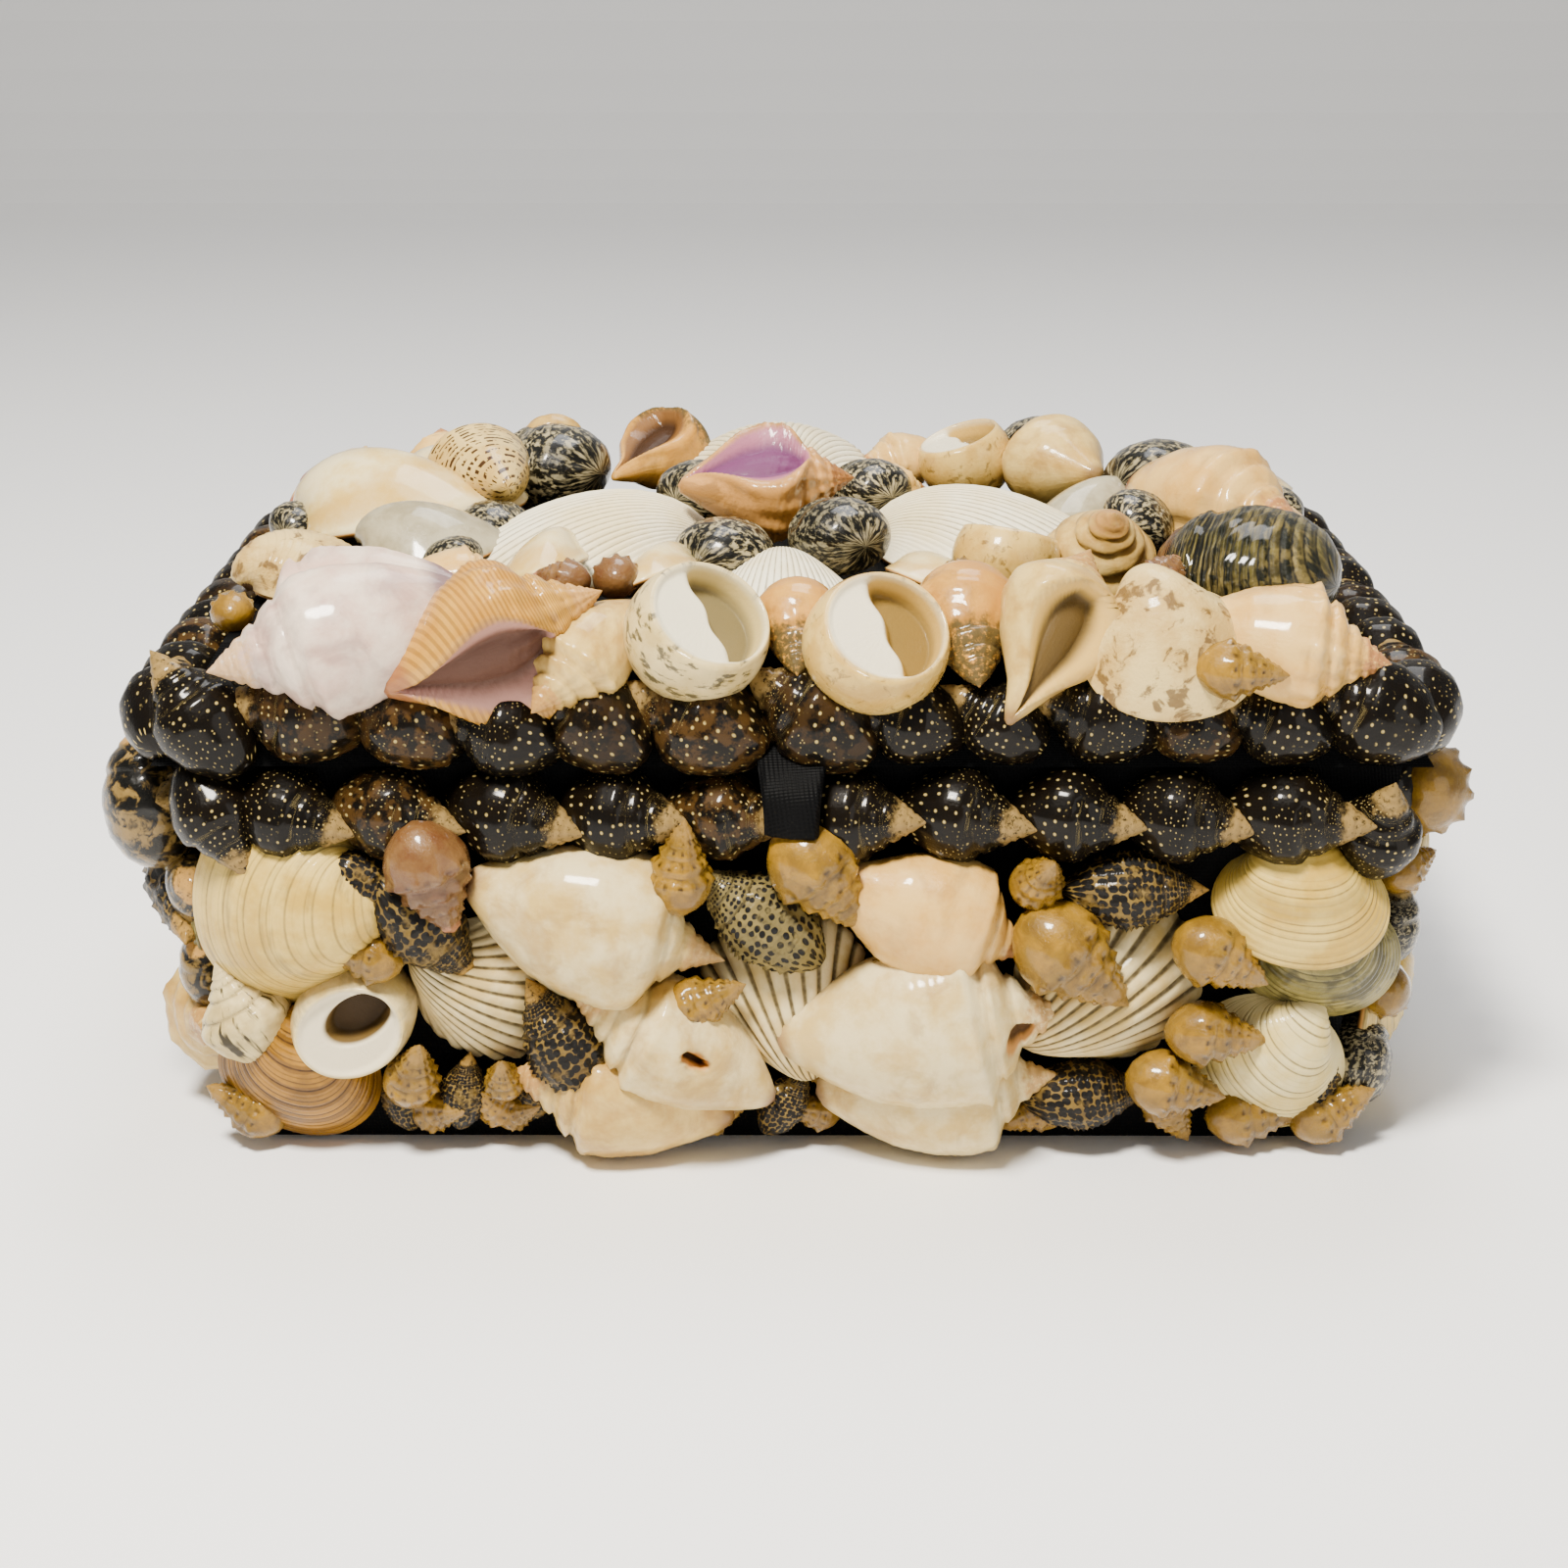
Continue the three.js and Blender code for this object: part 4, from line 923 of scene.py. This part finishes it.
# %% Gap fillers
# Along, up, out, length, turn and, where it isn't 0, lean.
FILLERS = {
    "front_dog_whelks": ("nassa", "nassa", "tan_shell", "box_front", [
        (-79, 41, 9, 16, 165), (-54, 15, 9, 12, 90, 30), (-71, 16, 9, 17, 75, 20), (-20, 60, 11, 19, 85),
        (-16, 33, 12, 17, 25), (6, 57, 10, 26, -52), (16, 35, 9, 16, 70), (45, 57, 10, 16, 70, 40), (52, 41, 11, 28, -43),
        (79, 41, 10, 21, -32), (79, 25, 10, 20, -8), (72, 14, 10, 20, -15), (72, 6, 6, 15, -60), (88, 5, 5, 19, 5),
        (103, 6, 5, 18, 30), (-104, 6, 4, 17, 150), (-67, 6, 5, 15, 20, 40), (-57, 7, 4, 14, 130, 30),
        (46, 5, 4, 15, 200, 20), (-14, 6, 5, 15, 20), (10, 12, 3, 16, 175), (-52, 5, 4, 12, 30, 30), (4, 5, 4, 12, 160, 20),
        (95, 5, 2, 15, -30)]),
    "front_red_dog_whelk": ("nassa", "nassa_red", "tan_shell", "box_front", [(-65, 57, 11, 25, -76)]),
    "front_drupes": ("drupe", "drupe_brown", "grey_shell", "box_front", [
        (-77, 54, 7, 20, -35), (-67, 46, 8, 28, -50), (-62, 10, 5, 17, 80), (56, 10, 6, 25, 5), (-1, 8, 5, 17, 60),
        (-74, 8, 3, 16, 100), (-48, 9, 3, 15, 60), (99, 12, 3, 20, 70)]),
    "left_corner_nerite": ("nerite", "nerite_tan", "mixed_shell", "box_left", [
        (52, 64, 11, 28, 100), (57, 31, 6, 17, 60), (58, 46, 5, 17, 30)]),
    "left_corner_clam": ("venus", "venus_olive", "mixed_shell", "box_left", [(50, 42, 4, 24, 80)]),
    "right_corner_whelk": ("nassa", "nassa", "mixed_shell", "box_right", [
        (-55, 66, 11, 27, -30, 30), (-60, 27, 8, 17, -30), (-61, 53, 8, 15, 30, 50)]),
    "right_corner_nerites": ("nerite", "nerite_speckled", "mixed_shell", "box_right", [(-60, 41, 7, 16, 90),
        (-60, 13, 6, 19, 60)]),
    "lid_dog_whelks": ("nassa", "nassa", "tan_shell", "lid_top", [
        (-6, 3, 24, 9, 80), (-104, -52, 3, 13, 100), (-104, -20, 3, 12, 60), (30, -48, 8, 14, 140)]),
    "lid_front_dog_whelk": ("nassa", "nassa", "tan_shell", "lid_border", [(79, -7, 15, 17, -6)]),
    "lid_red_dog_whelks": ("nassa", "nassa_red", "tan_shell", "lid_top", [
        (-43, -52, 9, 13, 150), (-33, -49, 9, 14, 100), (69, -51, 9, 16, 60, 20)]),
    "lid_tellins": ("tellin", "tellin", "cream_shell", "lid_top", [
        (-74, 34, 5, 34, 120), (-48, -34, 7, 22, 60), (26, -46, 6, 22, 120), (-26, -42, 6, 22, 50), (98, 42, 5, 26, 200)]),
    "lid_grey_tellins": ("tellin", "tellin_grey", "cream_shell", "lid_top", [(-72, -14, 6, 28, 170), (62, 24, 4, 26, 20)]),
    "lid_small_nerites": ("nerite", "nerite_speckled", "speckled_shell", "lid_top", [
        (99, -17, 5, 16, 20), (80, 56, 5, 18, 40), (-102, 12, 4, 14, 70), (-66, -25, 6, 13, 60), (-60, 0, 6, 17, 30),
        (14, -52, 4, 15, 60), (53, 58, 12, 17, 100), (70, -3, 9, 16, 60), (78, 32, 10, 24, 40), (100, 22, 5, 17, 80)]),
    "lid_turban": ("turban", "conch_cream", "cream_shell", "lid_top", [(60, -28, 9, 23, 280, 50), (-53, 57, 13, 15, 90)]),
    "lid_small_conchs": ("conch", "conch_blush", "cream_shell", "lid_top", [
        (-77, 54, 8, 26, 100, 30), (25, 56, 9, 24, 200), (-100, 40, 4, 26, 60), (20, 34, 6, 24, 40), (-64, -42, 6, 24, 20),
        (100, 3, 4, 24, 100), (-98, 58, 5, 24, 20), (2, 62, 5, 22, 10)]),
}
for name, (kind, finish, slot, face, spots) in FILLERS.items():
    skins = [placed(kind, face, (u, v, out), size, turn, *lean, roll=30 * sway(i, 2), fine=0.62)
             for i, (u, v, out, size, turn, *lean) in enumerate(spots)]
    make_piece(name, skins, finish, face[:3], ())
    print(name, len(spots))

# %% [markdown]
# ## Cloth, ribbon and hinge
# The boards are covered in black book cloth: a plain weave of fine threads, a
# little paler where it is rubbed. The hinge is one strip of the same cloth, glued
# to both boards. The tab is a loop of ribbed ribbon, glued under the lid's dark row.

# %% Cloth
def cloth_finish(name, colour, pale, threads, rough):
    """A plain weave: two sets of threads as sines across each other, noise for wear, and a painted sheen on the thread
    crowns.
    """
    s = Sheet(name)
    place = s.spot()
    x, y, z = (s.node("SeparateXYZ", {"Vector": place}, out=axis) for axis in "XYZ")
    weave = (x + z * 0.15).wave(threads) * 0.5 + (y + z).wave(threads) * 0.5
    wear = s.noise(place, 0.08, 5.0, 0.65).step(0.5, 0.8)
    # Paler where worn, which is real wear, and by 0.15 on the thread crowns, which is painted sheen.
    colour = s.mix(linear(colour), linear(pale), wear * 0.5 + weave * 0.15)
    return s.finish(colour, rough - wear * 0.15, weave, 0.0, 0.12, Specular_IOR_Level=0.08)


def strip(path, width, thick, taper=1.0, ripple=0.0, steps=60):
    """A strip of cloth one path long: a thin rounded oblong carried along the path (y, z), square across it. It narrows
    to taper half way, where it also buckles by ripple * sin(6 pi x / width + 1 + 3 loose), where loose is the sine of
    pi times the share of the way."""
    path = np.array(path, float)
    reach = np.concatenate([[0], np.cumsum(np.linalg.norm(np.diff(path, axis=0), axis=1))])
    line = np.linspace(0, reach[-1], steps)
    y, z = (soft_line(np.column_stack([reach, path[:, k]]), line, reach[-1] * 0.03) for k in (0, 1))
    slope = np.arctan2(np.gradient(z), np.gradient(y))
    turn = 2 * np.pi * np.linspace(0, 1, 25)
    x = width / 2 * np.sign(np.cos(turn)) * np.abs(np.cos(turn)) ** 0.15
    off = thick / 2 * np.sign(np.sin(turn)) * np.abs(np.sin(turn)) ** 0.6
    y, z, slope = y[:, None], z[:, None], slope[:, None]
    points = np.stack([x + 0 * y, y - np.sin(slope) * off, z + np.cos(slope) * off], -1)
    loose = np.sin(np.pi * np.linspace(0, 1, steps))[:, None]
    points[..., 0] *= 1 - (1 - taper) * loose
    points[..., 1] += ripple * loose * np.sin(6 * np.pi * x / width + 1 + 3 * loose) - 0.1 * ripple * points[..., 0] * loose
    ends = points[[0, -1]].mean(axis=1, keepdims=True) + np.zeros_like(points[:1])
    points = np.concatenate([ends[:1], points, ends[1:]])
    v, u = np.meshgrid(np.linspace(0, 1, steps + 2), turn, indexing="ij")
    return {**closed_skin(points * MM, u, v, {"age": v}), "length": reach[-1] * MM}


FINISHES["cloth"] = cloth_finish("book_cloth", "07080a", "121214", 1.6, 0.75)
FINISHES["ribbon"] = cloth_finish("ribbon_cloth", "020204", "0c0d10", 1.2, 0.6)
for node in ("box_boards", "lid_boards"):
    frame["nodes"][node].material_slots[0].material = FINISHES["cloth"]

box_leaf, lid_leaf = ([np.array(c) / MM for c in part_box(node)] for node in ("hinge_cloth_box", "hinge_cloth_lid"))
half_thick = 0.4
(_, box_near, box_foot), (_, box_far, box_top) = box_leaf
(_, lid_near, lid_foot), (_, lid_far, lid_end) = lid_leaf
leaf_path = [(box_near + half_thick, box_foot), (box_far - half_thick, box_top), (box_far + 0.2, lid_low[2] - 0.3),
             (lid_far - half_thick, lid_foot), (lid_near + half_thick, lid_end)]
hinge_width = box_leaf[1][0] - box_leaf[0][0]
leaf = strip(leaf_path, hinge_width, 0.6)
hinge = make_piece("hinge_cloth_strip", [leaf], "cloth", "box", ("hinge_cloth_box", "hinge_cloth_lid"))
hinge.parent = None
del hinge["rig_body"]
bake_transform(hinge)

front, under = lid_low[1], lid_low[2]
tab_stops = [(-0.6, 4.6), (2, 3.8), (6.3, 1.2), (9.2, -2.6), (10.1, -9.2), (9.6, -10.8), (8.9, -9.2), (8.2, -2.8),
             (5.4, 0.2), (1.6, 2.8), (-0.6, 3.5)]
tab_width = 14.0
tab = strip([(front - out, under + up) for out, up in tab_stops], tab_width, 0.5, taper=0.7, ripple=1.0)
ribbon = make_piece("ribbon_loop", [tab], "ribbon", "lid", ("pull_ribbon",))
print("hinge strip", round(leaf["length"], 4), "m long, ribbon", round(tab["length"], 4), "m")

# %% [markdown]
# ## Floor, light and camera
# A pale sweep, one soft key light from the upper left, a wide fill and a top light.
# The camera looks down 18 degrees from half a metre in front of the seam.

# %% Studio
def sweep():
    """A floor that curves up into a backdrop: flat to y = 1.4, then a quarter circle of radius 0.6, then upright."""
    bend = np.linspace(0, np.pi / 2, 16)
    y = np.concatenate([[-4.0], 1.4 + 0.6 * np.sin(bend), [2.0]])
    z = np.concatenate([[0.0], 0.6 - 0.6 * np.cos(bend), [4.0]])
    points = [(x, float(a), float(b)) for x in (-4.0, 4.0) for a, b in zip(y, z)]
    n = len(y)
    mesh = bpy.data.meshes.new("floor")
    mesh.from_pydata(points, [], [(i, n + i, n + i + 1, i + 1) for i in range(n - 1)])
    floor = bpy.data.objects.new("floor", mesh)
    bpy.context.scene.collection.objects.link(floor)
    return floor


floor = sweep()
pale = Sheet("pale_floor")
paper = pale.node("BsdfPrincipled", {"Base Color": (0.92, 0.92, 0.92, 1), "Roughness": 0.7})
pale.node("OutputMaterial", {"Surface": paper})
floor.data.materials.append(pale.material)
floor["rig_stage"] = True


def area_light(name, place, aim, size, power, colour=(1, 1, 1)):
    light = bpy.data.objects.new(name, bpy.data.lights.new(name, "AREA"))
    light.data.size, light.data.energy, light.data.color = size, power, colour
    light.location = place
    light.rotation_euler = (Vector(aim) - Vector(place)).to_track_quat("-Z", "Y").to_euler()
    bpy.context.scene.collection.objects.link(light)


area_light("key", (-0.22, -0.5, 0.95), (0, 0, 0.05), 0.2, 31, (1.0, 0.94, 0.84))
area_light("fill", (0.9, -0.8, 0.35), (0, 0, 0.05), 0.7, 3, (1.0, 0.97, 0.92))
area_light("top", (0.1, 0.4, 1.1), (0, 0, 0.05), 0.5, 9)
world = bpy.data.worlds.new("studio")
world.use_nodes = True
colour, strength = world.node_tree.nodes["Background"].inputs[:2]
colour.default_value, strength.default_value = (1, 1, 1, 1), 0.34
bpy.context.scene.world = world

seam_front = Vector((0, lid_low[1] * MM, lid_low[2] * MM))
aim = seam_front + Vector((-0.0014, 0, -0.0033))
distance, down = 0.5, math.radians(18)
camera = bpy.data.objects.new("camera", bpy.data.cameras.new("camera"))
camera.data.lens = 63.56
camera.location = seam_front + distance * Vector((0, -math.cos(down), math.sin(down)))
camera.rotation_euler = (aim - camera.location).to_track_quat("-Z", "Y").to_euler()
bpy.context.scene.collection.objects.link(camera)
bpy.context.scene.camera = camera

# %% Size and finish
meshes = [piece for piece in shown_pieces() if piece.type == "MESH"]
triangles = sum(len(piece.data.loops) - 2 * len(piece.data.polygons) for piece in meshes)
print(len(meshes), "pieces,", triangles, "triangles")
